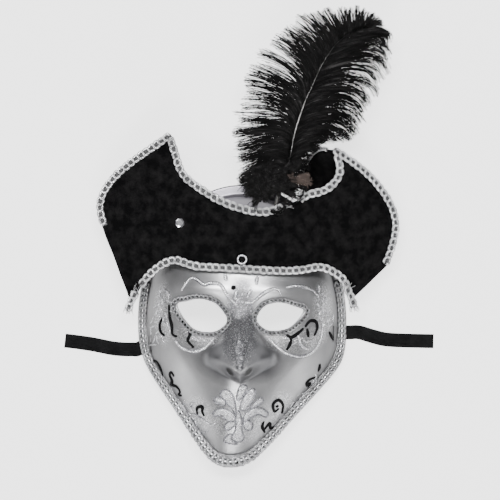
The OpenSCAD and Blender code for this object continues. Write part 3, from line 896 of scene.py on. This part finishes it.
def braid(node, line, normals, width, height, material, closed=False, loop=5.6, core=0.0):
    """Scroll gimp: two wound cords that loop from edge to edge, over and under each other, on a dark strip of
    painted shade.
    """
    step = 0.4
    full = np.column_stack([line, normals, np.broadcast_to(width, len(line))])
    even = even_line(full, step, closed)
    path, ups, width = even[:, :3], unit(even[:, 3:6]), even[:, 6]
    run = distances(path)
    t = along(path, closed)
    side = unit(np.cross(t, ups))
    turns = run / (2 * loop)
    if closed:
        turns = turns * max(1, round(turns[-1])) / (turns[-1] + step / (2 * loop))
    cord = width * CORD_SHARE
    swing = width / 2 - cord
    parts = []
    if core:
        v, f, uv = tube(path + 0.45 * height * ups, core * width, 8, ups, closed)
        uv[:, 0] = 0
        parts.append((v, f, uv))
    for k in (0, 0.5):
        a = 2 * np.pi * (turns + k)
        uneven = 1 + 0.07 * np.sin(5 * turns + 3 * k) + 0.05 * np.sin(17.3 * turns + 9 * k)
        across = swing * np.sin(a) * uneven
        ahead = -LOOP_LEAN * loop * np.sin(2 * a)
        over = height / 2 + (height / 2 - cord * 0.6) * np.cos(a)
        centre = path + across[:, None] * side + over[:, None] * ups + ahead[:, None] * t
        v, f, uv = tube(centre, cord * (1 + 0.05 * np.sin(11 * turns + k)), 10, ups, closed)
        uv[:, 0] = np.repeat(turns + k, 10)
        parts.append((v, f, uv))
    made = make(node + "_plait", merge(parts), material)
    # painted shade: a dark strip under the cords fills the gaps between them
    make(node + "_shade_strip", tube(path + 0.3 * ups, width * SHADE_STRIP_SHARE, 8, ups, closed, 0.12), SHADE_STRIP)
    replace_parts(made, node)


BRAID_W = 7.2
BRAID_T = 2.2
EYE_BRAID_W = 4.8
EDGE_AT = 1 - RIM_W / 2 / SHELL_HALF_W


def edge_line(first, last):
    edge = outline_point(np.linspace(first, last, 240))
    return on_skin(FACE_CENTRE + EDGE_AT * (edge - FACE_CENTRE))


def add_edge_braids():
    for name, first, last in (("edge_braid_left", -91.6, -202), ("edge_braid_right", 22, -92.2)):
        line = edge_line(first, last)
        line[:, 2] += 0.1
        ups = np.tile([0, 0, 1.0], (len(line), 1))
        rim = np.linalg.norm(line[:, :2] - FACE_CENTRE, axis=1) / EDGE_AT * RIM_W / SHELL_HALF_W
        braid(name, line, ups, np.maximum(BRAID_W, rim - 0.2), BRAID_T + 0.3, BRAID_SHADED, loop=4.4, core=0.09)


def add_eye_braids():
    for name, outline in (("eye_braid_left", EYE_LEFT), ("eye_braid_right", EYE_RIGHT)):
        d = along(outline, closed=True)
        middle = outline.mean(axis=0)
        out = -left_of(d)
        out *= np.sign(((outline - middle) * out).sum(axis=1).mean())
        ring = outline + (EYE_BRAID_W / 2 + 0.1) * out
        normals = skin_normal(*ring.T)
        line = on_skin(ring) + 0.1 * normals
        braid(name, line, normals, EYE_BRAID_W, 1.8, BRAID_EYE, closed=True, loop=3.6)


def hat_line(plan):
    z = brim_z(*plan.T) + VELVET_T + 0.25
    return np.column_stack([plan, z]), brim_normal(plan[:, 0])


def add_hat_braids():
    n = HAT_STEPS
    spans = {
        "forehead_braid": forehead_line[n // 2 + 1:-n // 2],
        "temple_braid_left": smooth_line([(-95.5, 5), (-93, 12), (-88.5, 20)], n),
        "temple_braid_right": smooth_line([(87.5, 24), (91.5, 15), (94, 7)], n),
        "dip_braid_left": dip_line[5 * n + 2:-2],
        "dip_braid_right": dip_line[4:4 * n + 4],
        "wing_braid_left": left_wing_line,
        "wing_braid_right": right_wing_line,
    }
    for name, plan in spans.items():
        line, ups = hat_line(plan)
        braid(name, line, ups, BRAID_W, BRAID_T + 0.2, BRAID_SILVER)
    for name, plan, hem in (("flap_braid_left", left_flap_top, left_hem),
                            ("flap_braid_right", right_flap_top[5:], right_hem)):
        z = flap_z(*plan.T, hem) + VELVET_T + 0.6
        ups = np.tile([0, 0, 1.0], (len(plan), 1))
        braid(name, np.column_stack([plan, z]), ups, 4.0, 1.5, BRAID_SILVER, loop=3.4)


add_edge_braids()
add_eye_braids()
add_hat_braids()


# ---- Hat ----------------------------------------------------------------------------------------

def clipped_grid(outline, cell):
    """A square grid trimmed to an outline, its edge pulled onto the line."""
    low, high = outline.min(0) - cell, outline.max(0) + cell
    xs = np.arange(low[0], high[0] + cell, cell)
    ys = np.arange(low[1], high[1] + cell, cell)
    xy = np.stack(np.meshgrid(xs, ys), -1).reshape(-1, 2)
    cols = len(xs)
    i, j = np.meshgrid(np.arange(len(ys) - 1), np.arange(cols - 1), indexing="ij")
    a = (i * cols + j).ravel()
    faces = np.stack([a, a + 1, a + cols + 1, a + cols], -1)
    within = inside(outline, *xy[faces].mean(axis=1).T)
    keep = faces[within]
    rim = np.intersect1d(keep, faces[~within])
    xy[rim] = nearest_on(outline, xy[rim])[0]
    used, where = np.unique(keep, return_inverse=True)
    return xy[used], where.reshape(-1, 4)


def drape(x, y):
    """Soft waves of velvet glued over card, with the diagonal crease of the right wing."""
    wave = 0.5 * np.sin(x / 11 + 0.7 * np.sin(y / 17)) * np.sin(y / 13 + 1) + 0.25 * np.sin(x / 5.3 + y / 7.1)
    a, b = np.array([75.0, 103.0]), np.array([51.0, 51.0])
    d = (b - a) / np.linalg.norm(b - a)
    off = (x - a[0]) * d[1] - (y - a[1]) * d[0]
    on = (x - a[0]) * d[0] + (y - a[1]) * d[1]
    crease = -1.5 * np.exp(-(off / 2.6) ** 2) + 2.4 * np.exp(-((off + 6) / 5.0) ** 2)
    return wave * 0.6 + crease * ease((on + 8) / 14) * ease((66 - on) / 14)


def unrolled(xy, height):
    """A cloth's width and length in mm along its own surface, as it was cut."""
    step = 0.5
    sizes = []
    for shift in np.eye(2) * step:
        rise = (height(*(xy + shift).T) - height(*(xy - shift).T)) / (2 * step)
        sizes.append(np.ptp(xy @ shift) / step * np.mean(np.sqrt(1 + rise ** 2)))
    return sizes


def cloth(name, outline, height, thickness, nodes):
    xy, faces = clipped_grid(outline, 1.6)
    verts = np.column_stack([xy, height(*xy.T)])
    made = build(name, verts, faces, VELVET)
    thicken(made, thickness)
    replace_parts(made, *nodes)
    width, length = unrolled(xy, height)


def beside(line, gap):
    return line + gap * left_of(along(line))


front_outline = np.vstack([forehead_line, right_wing_line, dip_line[1:], left_wing_line[1:]])
right_flap_outline = np.vstack([[(92, 17), (119, 43)], beside(right_wing_line, 2)[1:-2], right_flap_top,
                                [(52, 104), (66, 88), (78, 70), (86, 50), (90, 32)]])
left_flap_outline = np.vstack([[(-93, 17), (-114, 76), (-117, 93), (-110, 109), (-92, 125)], left_flap_top,
                               [(-54, 104), (-67, 88), (-79, 70), (-87, 50), (-91, 32)]])


def add_hat():
    cloth("velvet_front", front_outline, lambda x, y: brim_z(x, y) + VELVET_T + 0.6 * drape(x, y),
          VELVET_T - 0.2, ["brim_velvet_front"])
    for name, outline, hem in (("left", left_flap_outline, left_hem),
                               ("right", right_flap_outline, right_hem)):
        cloth("velvet_" + name, outline, lambda x, y: flap_z(x, y, hem) + VELVET_T + 0.2 * drape(x, y),
              VELVET_T + CARD_T, ["brim_velvet_" + name, "brim_card_" + name])


add_hat()


def add_folds():
    """The velvet turns over the hem from the front to the part folded back."""
    for name, line in (("fold_left", left_hem), ("fold_right", right_hem)):
        plan = even_line(smooth_line(line, 2), 1.2)
        z = brim_z(*plan.T) - 1.0
        up = brim_normal(plan[:, 0])
        wave = 1 + 0.07 * np.sin(plan[:, 1] / 4.7) + 0.05 * np.sin(plan[:, 0] / 3.1)
        roll = tube(np.column_stack([plan, z]), 2.3 * wave, 14, up, flat=1.05)
        make(name, roll, VELVET)


def fray(at, heading, up, count, length):
    """Loose threads at a cut end of braid."""
    heading, up = unit(np.array(heading, float)), unit(np.array(up, float))
    across = np.cross(heading, up)
    threads = []
    for k in range(count):
        a, b = rng.normal(0, 0.55), rng.normal(0.12, 0.22)
        start = np.array(at) + rng.uniform(-0.45, 0.45) * BRAID_W * across + rng.uniform(0.4, 1.6) * up
        aim = unit(heading * math.cos(a) + across * math.sin(a) + b * up)
        turn = rng.normal(0, 1.2) * across + rng.normal(0, 0.3) * up
        s = np.linspace(0, 1, 9)[:, None]
        line = start + length * rng.uniform(0.5, 1.1) * (s * aim + 0.35 * s ** 2 * turn)
        threads.append(tube(line, 0.24, 6, np.tile(up, (9, 1))))
    return threads


def add_frays():
    parts = []
    for plan, turn, count, length in (((-94.8, 7), (-0.25, -1), 14, 6), ((93.4, 9), (0.2, -1), 14, 6),
                                      ((-88.6, 19), (-0.5, 1), 8, 7), ((87.4, 23), (0.5, 1), 8, 7),
                                      ((80.8, 123), (-0.1, 1), 9, 6), ((51.5, 100), (-1, 0.5), 26, 8),
                                      ((36.5, 92), (1, 0.4), 10, 5), ((-59.2, 147), (-0.3, 1), 8, 5)):
        x, y = plan
        at = (x, y, float(brim_z(x, y)) + VELVET_T + 0.6)
        parts += fray(at, (*turn, 0), brim_normal(np.array(float(x))), count, length)
    make("frays", merge(parts), BRAID_SILVER)


add_folds()
add_frays()


# ---- Feather ------------------------------------------------------------------------------------

SHAFT = [(24, 74, 58), (28, 92, 61), (33, 110, 62), (39.5, 130, 62), (44, 153, 61), (52, 178, 59),
         (58, 191, 57), (64.5, 206, 54), (72, 219, 52), (81, 230.5, 49), (94, 239, 45), (111, 244, 42)]
QUILL_D = 3
QUILL_TIP = 0.35
BARBS_A_SIDE = 1780


def add_quill():
    line = even_line(smooth_line(SHAFT, 12), 1.2)
    s = np.linspace(0, 1, len(line))
    shaft = tube(line, QUILL_D / 2 * (1 + (QUILL_TIP - 1) * s), 12)
    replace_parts(make("quill", shaft, QUILL), "feather_quill")


def barb_lines(root, direction, normal, length, bend, droop, curl, points):
    """Many barbs at once: each starts along direction and turns in its own plane."""
    s = np.linspace(0, 1, points)[None, :, None]
    t = unit(direction)[:, None]
    n = unit(normal)[:, None]
    turn = bend[:, None, None] * s ** 1.25 + curl[:, None, None] * s ** 5
    heading = np.cos(turn) * t + np.sin(turn) * n
    steps = heading * (length / (points - 1))[:, None, None]
    moved = np.cumsum(steps[:, :-1], axis=1)
    path = root[:, None] + np.concatenate([np.zeros_like(steps[:, :1]), moved], axis=1)
    path[..., 2] -= droop[:, None] * (s[..., 0] ** 2.2)
    return path


def barb_mesh(paths, tuft, root_w, tip_w, thick, fringe_len, fringe_per):
    """Each barb is a thin three-sided blade with a fringe of barbules down both sides."""
    count, points, _ = paths.shape
    t = unit(np.gradient(paths, axis=1))
    side = unit(np.cross(t, np.broadcast_to([0, 0, 1.0], t.shape)))
    up = np.cross(side, t)
    w = np.linspace(root_w, tip_w, points)[None, :, None]
    ring = np.stack([paths - w * side, paths + w * side, paths + thick * up], axis=2)
    verts = ring.reshape(-1, 3)
    base = (np.arange(count) * points * 3)[:, None, None]
    i = np.arange(points - 1)[None, :, None] * 3
    j = np.arange(3)[None, None, :]
    a = base + i + j
    b = base + i + (j + 1) % 3
    quads = np.stack([a, b, b + 3, a + 3], -1).reshape(-1, 4)
    tris = np.vstack([quads[:, [0, 1, 2]], quads[:, [0, 2, 3]]])
    s = np.linspace(0.06, 0.97, fringe_per)
    pos = s * (points - 1)
    k = np.minimum(pos.astype(int), points - 2)
    frac = (pos - k)[None, :, None]
    at = paths[:, k] * (1 - frac) + paths[:, k + 1] * frac
    tt, ss, uu = t[:, k], side[:, k], up[:, k]
    hairs = []
    for sign in (-1, 1):
        size = fringe_len * (0.6 + 0.8 * rng.random((count, fringe_per, 1))) * (1 - 0.55 * s[None, :, None])
        lean = 0.75 + 0.5 * rng.random((count, fringe_per, 1))
        rise = 0.7 * (rng.random((count, fringe_per, 1)) - 0.5)
        tip = at + size * unit(sign * ss + lean * tt + rise * uu)
        half = 0.13 * tt
        hairs.append(np.stack([at - half, at + half, tip], axis=2).reshape(-1, 3))
    hair = np.vstack(hairs)
    hair_faces = len(verts) + np.arange(len(hair)).reshape(-1, 3)
    blade_uv = every_pair(tuft, np.repeat(np.linspace(0, 1, points), 3))
    hair_uv = every_pair(tuft, np.repeat(s, 3))
    uv = np.vstack([blade_uv, hair_uv, hair_uv])[:, ::-1]
    return np.vstack([verts, hair]), np.vstack([tris, hair_faces]), uv


# Guide barbs from the root of the feather to its tip: height of the root up the shaft, place of the
# barb's end, the way it points there in degrees from +X, and how far it droops
LEFT_BARBS = [(108, 3, 99, 225, 0), (120, -2, 118, 200, 1), (130, -3, 131, 190, 2), (142, -5, 150, 185, 4),
              (155, -4, 180, 178, 5), (172, 6, 207, 165, 6), (187, 25, 229, 150, 6), (200, 34, 238, 145, 6),
              (214, 46, 248, 140, 6), (227, 68, 256, 120, 5), (236, 90, 261, 75, 5), (241, 106, 257, 50, 4),
              (243.5, 120, 247, 0, 4)]
RIGHT_BARBS = [(104, 46, 101, -30, 0), (118, 54, 120, -35, 1), (128, 57, 133, -40, 2), (136, 72, 147, -45, 5),
               (150, 95, 147, -60, 9), (163, 99, 160, -65, 12), (178, 106, 174, -65, 12),
               (191, 113, 188, -68, 12), (206, 120, 206, -70, 12), (222, 122, 224, -75, 10),
               (236, 123, 232, -80, 8), (241, 121, 237, -90, 6), (243.5, 119, 239, -120, 4)]


def guided(table, u):
    """The guide values at places along a table, in rows."""
    t = np.array(table, float)
    return np.stack([np.interp(u, np.arange(len(t)), t[:, k]) for k in range(t.shape[1])])


def add_vane(name, table, side, count, node):
    line = even_line(smooth_line(SHAFT, 12), 1.0)
    tangent = along(line)
    u = (len(table) - 1) * np.sort(rng.random(count) ** 1.25)
    clump = (u * 9).astype(int)
    shared = rng.normal(0, 1, (clump.max() + 1, 3))[clump]
    root_y, tip_x, tip_y, degrees, droop = guided(table, u)
    root = np.stack([np.interp(root_y, line[:, 1], line[:, k]) for k in range(3)], -1)
    t = unit(np.stack([np.interp(root_y, line[:, 1], tangent[:, k]) for k in range(3)], -1))
    flat = unit(np.column_stack([left_of(t), 0 * u])) * side
    reach_part = np.where(rng.random(count) < 0.38, rng.uniform(0.35, 0.8, count),
                          0.95 + 0.07 * shared[:, 0] + rng.normal(0, 0.03, count))
    tip = np.column_stack([tip_x, tip_y, root[:, 2]])
    size = np.linalg.norm(tip - root, axis=1) * np.minimum(reach_part, 1.08)
    heading = np.radians(degrees + 7 * shared[:, 1] + rng.normal(0, 8, count))
    end = np.column_stack([np.cos(heading), np.sin(heading), 0 * u])
    stray = 1.3 * shared[:, 2:] + rng.normal(0, 1.3, (count, 1))
    tip = (root + (tip - root) * np.minimum(reach_part, 1.08)[:, None]
           + stray * np.column_stack([left_of(end), 0 * u]))
    leave = np.radians((22 if side > 0 else 38) + rng.normal(0, 7, count))[:, None]
    first = root + (0.42 * size)[:, None] * (np.cos(leave) * t + np.sin(leave) * flat)
    last = tip - (0.34 * size)[:, None] * end
    s = np.linspace(0, 1, 13)[None, :, None]
    paths = ((1 - s) ** 3 * root[:, None] + 3 * s * (1 - s) ** 2 * first[:, None] + 3 * s ** 2 * (1 - s)
             * last[:, None] + s ** 3 * tip[:, None])
    arch = rng.uniform(0, 5, count)[:, None] + 0.6 * np.abs(shared[:, :1])
    sag = (droop * rng.uniform(0.6, 1.2, count))[:, None]
    paths[..., 2] += arch * np.sin(np.pi * s[..., 0] ** 0.8) - sag * s[..., 0] ** 2
    barbs = barb_mesh(paths, shared[:, 0] + 0.03 * rng.random(count), 0.36, 0.14, 0.16, 3.0, 18)
    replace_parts(make(name, barbs, PLUME), node)


def fluff(name, centre, spread, tufts, lengths, material):
    """Loose down: tufts of short barbs that curl out of one place in every direction."""
    per = 13
    count = tufts * per
    tuft = np.repeat(rng.random((tufts, 3)), per, axis=0)
    root = np.repeat(rng.normal(centre, spread, (tufts, 3)), per, axis=0) + rng.normal(0, 0.7, (count, 3))
    angle = np.pi * (-0.3 + 1.6 * tuft[:, 0]) + rng.normal(0, 0.22, count)
    direction = np.column_stack([np.cos(angle), np.sin(angle), rng.normal(0.1, 0.15, count)])
    turn_to = np.column_stack([-np.sin(angle), np.cos(angle), 0 * angle]) * np.sign(tuft[:, 1] - 0.5)[:, None]
    size = lengths[0] + (lengths[1] - lengths[0]) * tuft[:, 2] * rng.uniform(0.8, 1.1, count)
    paths = barb_lines(root, direction, turn_to, size, rng.uniform(0.6, 1.5, count),
                       rng.uniform(0, 1.6, count), rng.normal(0.8, 0.5, count), 9)
    barbs = barb_mesh(paths, 3 * tuft[:, 2] + 0.03 * rng.random(count), 0.34, 0.14, 0.16, 2.6, 12)
    return make(name, barbs, material)


add_quill()
add_vane("vane_left", LEFT_BARBS, 1, BARBS_A_SIDE, "feather_vane_left")
add_vane("vane_right", RIGHT_BARBS, -1, BARBS_A_SIDE, "feather_vane_right")
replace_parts(fluff("down", (22, 108, 69.5), (8.5, 6, 1.0), 85, (7, 14), PLUME), "feather_down")
fluff("down_brown", (50, 112, 69.0), (3, 4, 0.6), 9, (5, 9), DOWN)


# ---- Glitter glue on the face -------------------------------------------------------------------

BLACK_STROKES = [
    [(-66.9, -1.7), (-69.3, -7.9), (-68.1, -14.1), (-65, -16.5)],
    [(-61.3, 9.3), (-60.7, -0.5), (-58.9, -7.9), (-58.2, -15.3), (-54.5, -17.1)],
    [(-50.2, -3.6), (-43.4, -14.1), (-45.3, -20.2), (-41, -25.2)],
    [(35.4, -11.6), (41, -17.8), (51.4, -10.4)],
    [(41, -17.8), (40.3, -22.7), (37.3, -28.2)],
    [(52.7, -9.1), (57, -4.2), (61.9, -4.8), (63.1, -10.4), (60.7, -16.5)],
    [(54.5, -10.4), (55.7, -17.8)],
    [(-74.9, -38.7), (-71.8, -39.9), (-68.7, -46.1), (-67.5, -51)],
    [(-57.5, -51.5), (-59.6, -47.9), (-61.2, -50.2), (-59.2, -55.5), (-59.8, -58.6), (-55.4, -60.2),
     (-52.6, -64.2), (-53.8, -67.2)],
    [(-37.6, -83.5), (-37.9, -77.8), (-33.2, -76.6), (-33.6, -80.3), (-31.8, -84.6)],
    [(65.6, -41.2), (65.4, -44.5), (64.4, -47.3)],
    [(61.5, -52.9), (57.4, -54.2), (54.7, -57.3), (55.9, -60.1), (58.2, -57.2)],
    [(33.6, -82.6), (34.6, -75.6), (30.7, -71.0), (26.2, -74.4), (27.3, -80.9), (30.9, -78.4)],
    [(18.3, -89.1), (17.0, -93.5), (19.0, -98.6)],
    [(19.0, -96.0), (23.0, -90.9), (24.0, -95.2), (27.9, -94.1)],
    [(73.5, -14.0), (77.0, -20.5)],
]
SILVER_STROKES = [
    [(-50.8, 21.7), (-44.1, 30.9), (-39.1, 31.5), (-31.7, 26.6), (-26.8, 27.8), (-18.2, 26.6), (-13.3, 19.2),
     (-9.6, 14.3), (-4.6, 10)],
    [(2.8, 11.8), (8.9, 11.8), (16.3, 18), (23.7, 22.3), (29.9, 22.3), (32.3, 18)],
    [(37.3, 24.1), (47.1, 25.4), (59.4, 21.7), (61.9, 18)],
    [(-56, -21), (-50, -27), (-40, -29.5), (-31, -26), (-24, -19)],
    [(22, -18), (29, -25), (38, -31.5), (50, -34), (61, -29), (67, -17), (68, -6)],
    [(47, -16), (50, -25), (56, -28)],
    [(-47.5, -86), (-40, -84), (-33, -88), (-26.5, -92), (-22.5, -90.5)],
    [(-41, -72), (-43.5, -77), (-41.5, -82)],
]
LEAVES = [((-4.6, 18), 78, 8), ((6.5, 18.6), 62, 8), ((-13, 33), 100, 7), ((13, 30), 80, 7)]


def glue_line(points, width, lift=0.15):
    """A bead of glue squeezed onto the skin, thin at both ends."""
    plan = even_line(smooth_line(points, 8), 0.7)
    line = on_skin(plan)
    ups = skin_normal(*plan.T)
    s = np.linspace(0, 1, len(line))
    swell = 0.45 + 0.55 * np.sin(np.pi * clamp01(s * 0.94 + 0.03)) ** 0.45
    return tube(line + lift * ups, width / 2 * swell * (1 + 0.08 * np.sin(9 * s + width)), 10, ups, flat=0.7)


def leaf_line(centre, degrees, length, bend):
    """A short curved stroke about its centre."""
    a = np.radians(degrees)
    d, across = np.array([np.cos(a), np.sin(a)]), np.array([-np.sin(a), np.cos(a)])
    return [tuple(np.array(centre) + length * k * d + bend * (0.25 - k * k) * 4 * across)
            for k in (-0.5, -0.17, 0.17, 0.5)]


def leaf_rows():
    """Rows of small silver leaves beside the eyes and along the lower sides of the face."""
    rows = []
    for start, end, count, lean in (((-68, 20), (-71, -24), 10, 75), ((-62, 24), (-63, -22), 9, 105),
                                    ((-74, 10), (-76, -28), 7, 85), ((-48, -16), (-28, -20), 7, 150),
                                    ((69, 18), (73, -8), 9, 80), ((64, 24), (66, -12), 7, 100),
                                    ((34, -20), (62, -22), 8, 20), ((-66, -58), (-30, -100), 13, 120),
                                    ((66, -52), (30, -97), 13, 60)):
        for k in range(count):
            f = (k + 0.5) / count
            spot = np.array(start) * (1 - f) + np.array(end) * f + rng.normal(0, 1.6, 2)
            rows.append(leaf_line(spot, lean + rng.normal(0, 28), rng.uniform(4, 7.5),
                                  rng.uniform(-1.4, 1.4)))
    return rows


def add_glue():
    black = [glue_line(p, 3.0) for p in BLACK_STROKES]
    dots = [(-7.1, 24.1, 2.6), (-52.3, -67.8, 1.5), (29.5, -76.4, 1.6), (57.0, -57.6, 1.5),
            (-40.9, -25.6, 1.4)]
    black += [glue_line(leaf_line((x, y), 8, 1.6 * r, 0), 1.5 * r) for x, y, r in dots]
    strokes = [(p, 2.4) for p in SILVER_STROKES] + [(leaf_line(c, d, n, 0.8), 2.6) for c, d, n in LEAVES]
    for name, beads, material in (
            ("glue_black", black, GLITTER_BLACK),
            ("glue_silver", [glue_line(p, w) for p, w in strokes], GLITTER_SILVER),
            # painted shade: a wider dark bead under each silver stroke shows as the shade along its raised
            # edges
            ("glue_shade_border", [glue_line(p, w + 1.1, -0.35) for p, w in strokes], DARK_GLITTER_AND_SHADE),
            ("glue_leaves", [glue_line(p, 1.5) for p in leaf_rows()], GLITTER_PETAL)):
        make(name, merge(beads), material)


add_glue()


# ---- Palmette -----------------------------------------------------------------------------------

# Closed petals, from the top one down to the foot, and the open curls of the two volutes
PETALS = [
    [(-4.4, -70.0), (-3.9, -63.4), (-1.7, -58.6), (1.6, -57.2), (4.4, -59.2), (2.2, -64.4), (-1.6, -69.6)],
    [(-5.0, -82.0), (-8.8, -77.6), (-14.3, -71.1), (-18.2, -65.6), (-15.4, -61.7), (-9.9, -62.8),
     (-6.2, -69.5)],
    [(-1.6, -77.5), (0.3, -69.9), (5.5, -62.2), (9.8, -60.6), (11.5, -64.5), (8.8, -71.1), (2.6, -78.8)],
    [(-15.0, -75.0), (-19.8, -73.4), (-23.6, -71.1), (-22.0, -68.2), (-17.6, -68.6), (-13.6, -71.8)],
    [(6.6, -77.0), (10.6, -72.3), (15.9, -68.3), (17.8, -71.1), (12.6, -75.4)],
    [(-5.2, -84.4), (-12.0, -78.2), (-19.0, -77.6), (-24.2, -80.6), (-23.1, -84.4), (-17.5, -83.4),
     (-14.6, -86.4), (-8.0, -88.4)],
    [(1.4, -84.2), (5.4, -79.4), (11.0, -77.2), (17.4, -77.8), (22.0, -82.0), (19.6, -85.4), (13.8, -83.0),
     (6.8, -85.6), (2.0, -89.0)],
    [(-5.0, -89.5), (-9.4, -95.0), (-13.8, -95.4), (-14.4, -91.5), (-10.4, -88.6)],
    [(1.0, -90.2), (3.2, -95.6), (8.0, -95.4), (8.8, -90.4), (4.6, -87.6)],
    [(-4.8, -79.5), (-2.2, -80.0), (0.2, -88.0), (0.0, -96.0), (1.6, -103.0), (-3.0, -106.6), (-8.6, -103.0),
     (-5.6, -95.0), (-5.6, -86.0)],
    [(-15.4, -105.6), (-12.6, -100.6), (-8.4, -99.4), (-8.8, -104.4), (-4.0, -108.2), (-10.4, -107.8)],
]
PETAL_RISE = 1.1
PETAL_T = 0.3


def add_palmette():
    rims, fills = [], []
    for outline in PETALS:
        loop = smooth_line(outline, 6, closed=True)
        xy, faces = clipped_grid(loop, 0.7)
        gap = nearest_on(loop, xy)[1]
        z = skin_z(*xy.T) - 0.2 + PETAL_RISE * ease(gap / 1.6 + 0.15)
        fills.append((np.column_stack([xy, z]), faces, xy))
        plan = even_line(loop, 0.7, closed=True)
        ups = skin_normal(*plan.T)
        rims.append(tube(on_skin(plan) + 0.2 * ups, 0.62, 8, ups, closed=True))
    petals = make("palmette_petals", merge(fills), GLITTER_PETAL)
    thicken(petals, PETAL_T)
    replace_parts(petals, "chin_palmette")
    make("palmette_rims", merge(rims), DARK_GLITTER_AND_SHADE)


add_palmette()


# ---- Stone --------------------------------------------------------------------------------------

STUD_AT = (-52, 78)
STUD_R = 4.0
STUD_TILT = 17


def add_stone():
    """A round-cut stone glued on by its flat back."""
    z = float(brim_z(*STUD_AT)) + VELVET_T + 1.1
    rings = [(0.0, 0.86, 0), (0.5, 1.0, 0.5), (0.95, 1.0, 0.5), (2.1, 0.74, 0), (2.9, 0.5, 0.5)]
    sides = 8
    verts = []
    for height, part, turn in rings:
        a = 2 * np.pi * (np.arange(sides) + turn) / sides
        verts += [(STUD_R * part * math.cos(t), STUD_R * part * math.sin(t), height) for t in a]
    faces = []
    for level in range(len(rings) - 1):
        for k in range(sides):
            a, b = level * sides + k, level * sides + (k + 1) % sides
            c, d = a + sides, level * sides + sides + (k + 1) % sides
            if rings[level][2] >= rings[level + 1][2]:
                faces += [(a, b, d), (a, d, c)]
            else:
                faces += [(a, b, c), (b, d, c)]
    top = (len(rings) - 1) * sides
    for k in range(1, sides - 1):
        faces += [(0, k + 1, k), (top, top + k, top + k + 1)]
    tilt = math.radians(STUD_TILT)
    v = np.array(verts)
    turned = np.column_stack([v[:, 0] * math.cos(tilt) + v[:, 2] * math.sin(tilt), v[:, 1],
                              v[:, 2] * math.cos(tilt) - v[:, 0] * math.sin(tilt)])
    made = build("stone", turned + [STUD_AT[0], STUD_AT[1], z], faces, STONE, smooth=False)
    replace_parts(made, "brim_stud")


add_stone()


# ---- Finish -------------------------------------------------------------------------------------

for node, material in (("brim_card_front", CARD), ("forehead_ring", RING), ("ring_eye", RING)):
    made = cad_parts[node]
    made.data.materials.clear()
    made.data.materials.append(material)
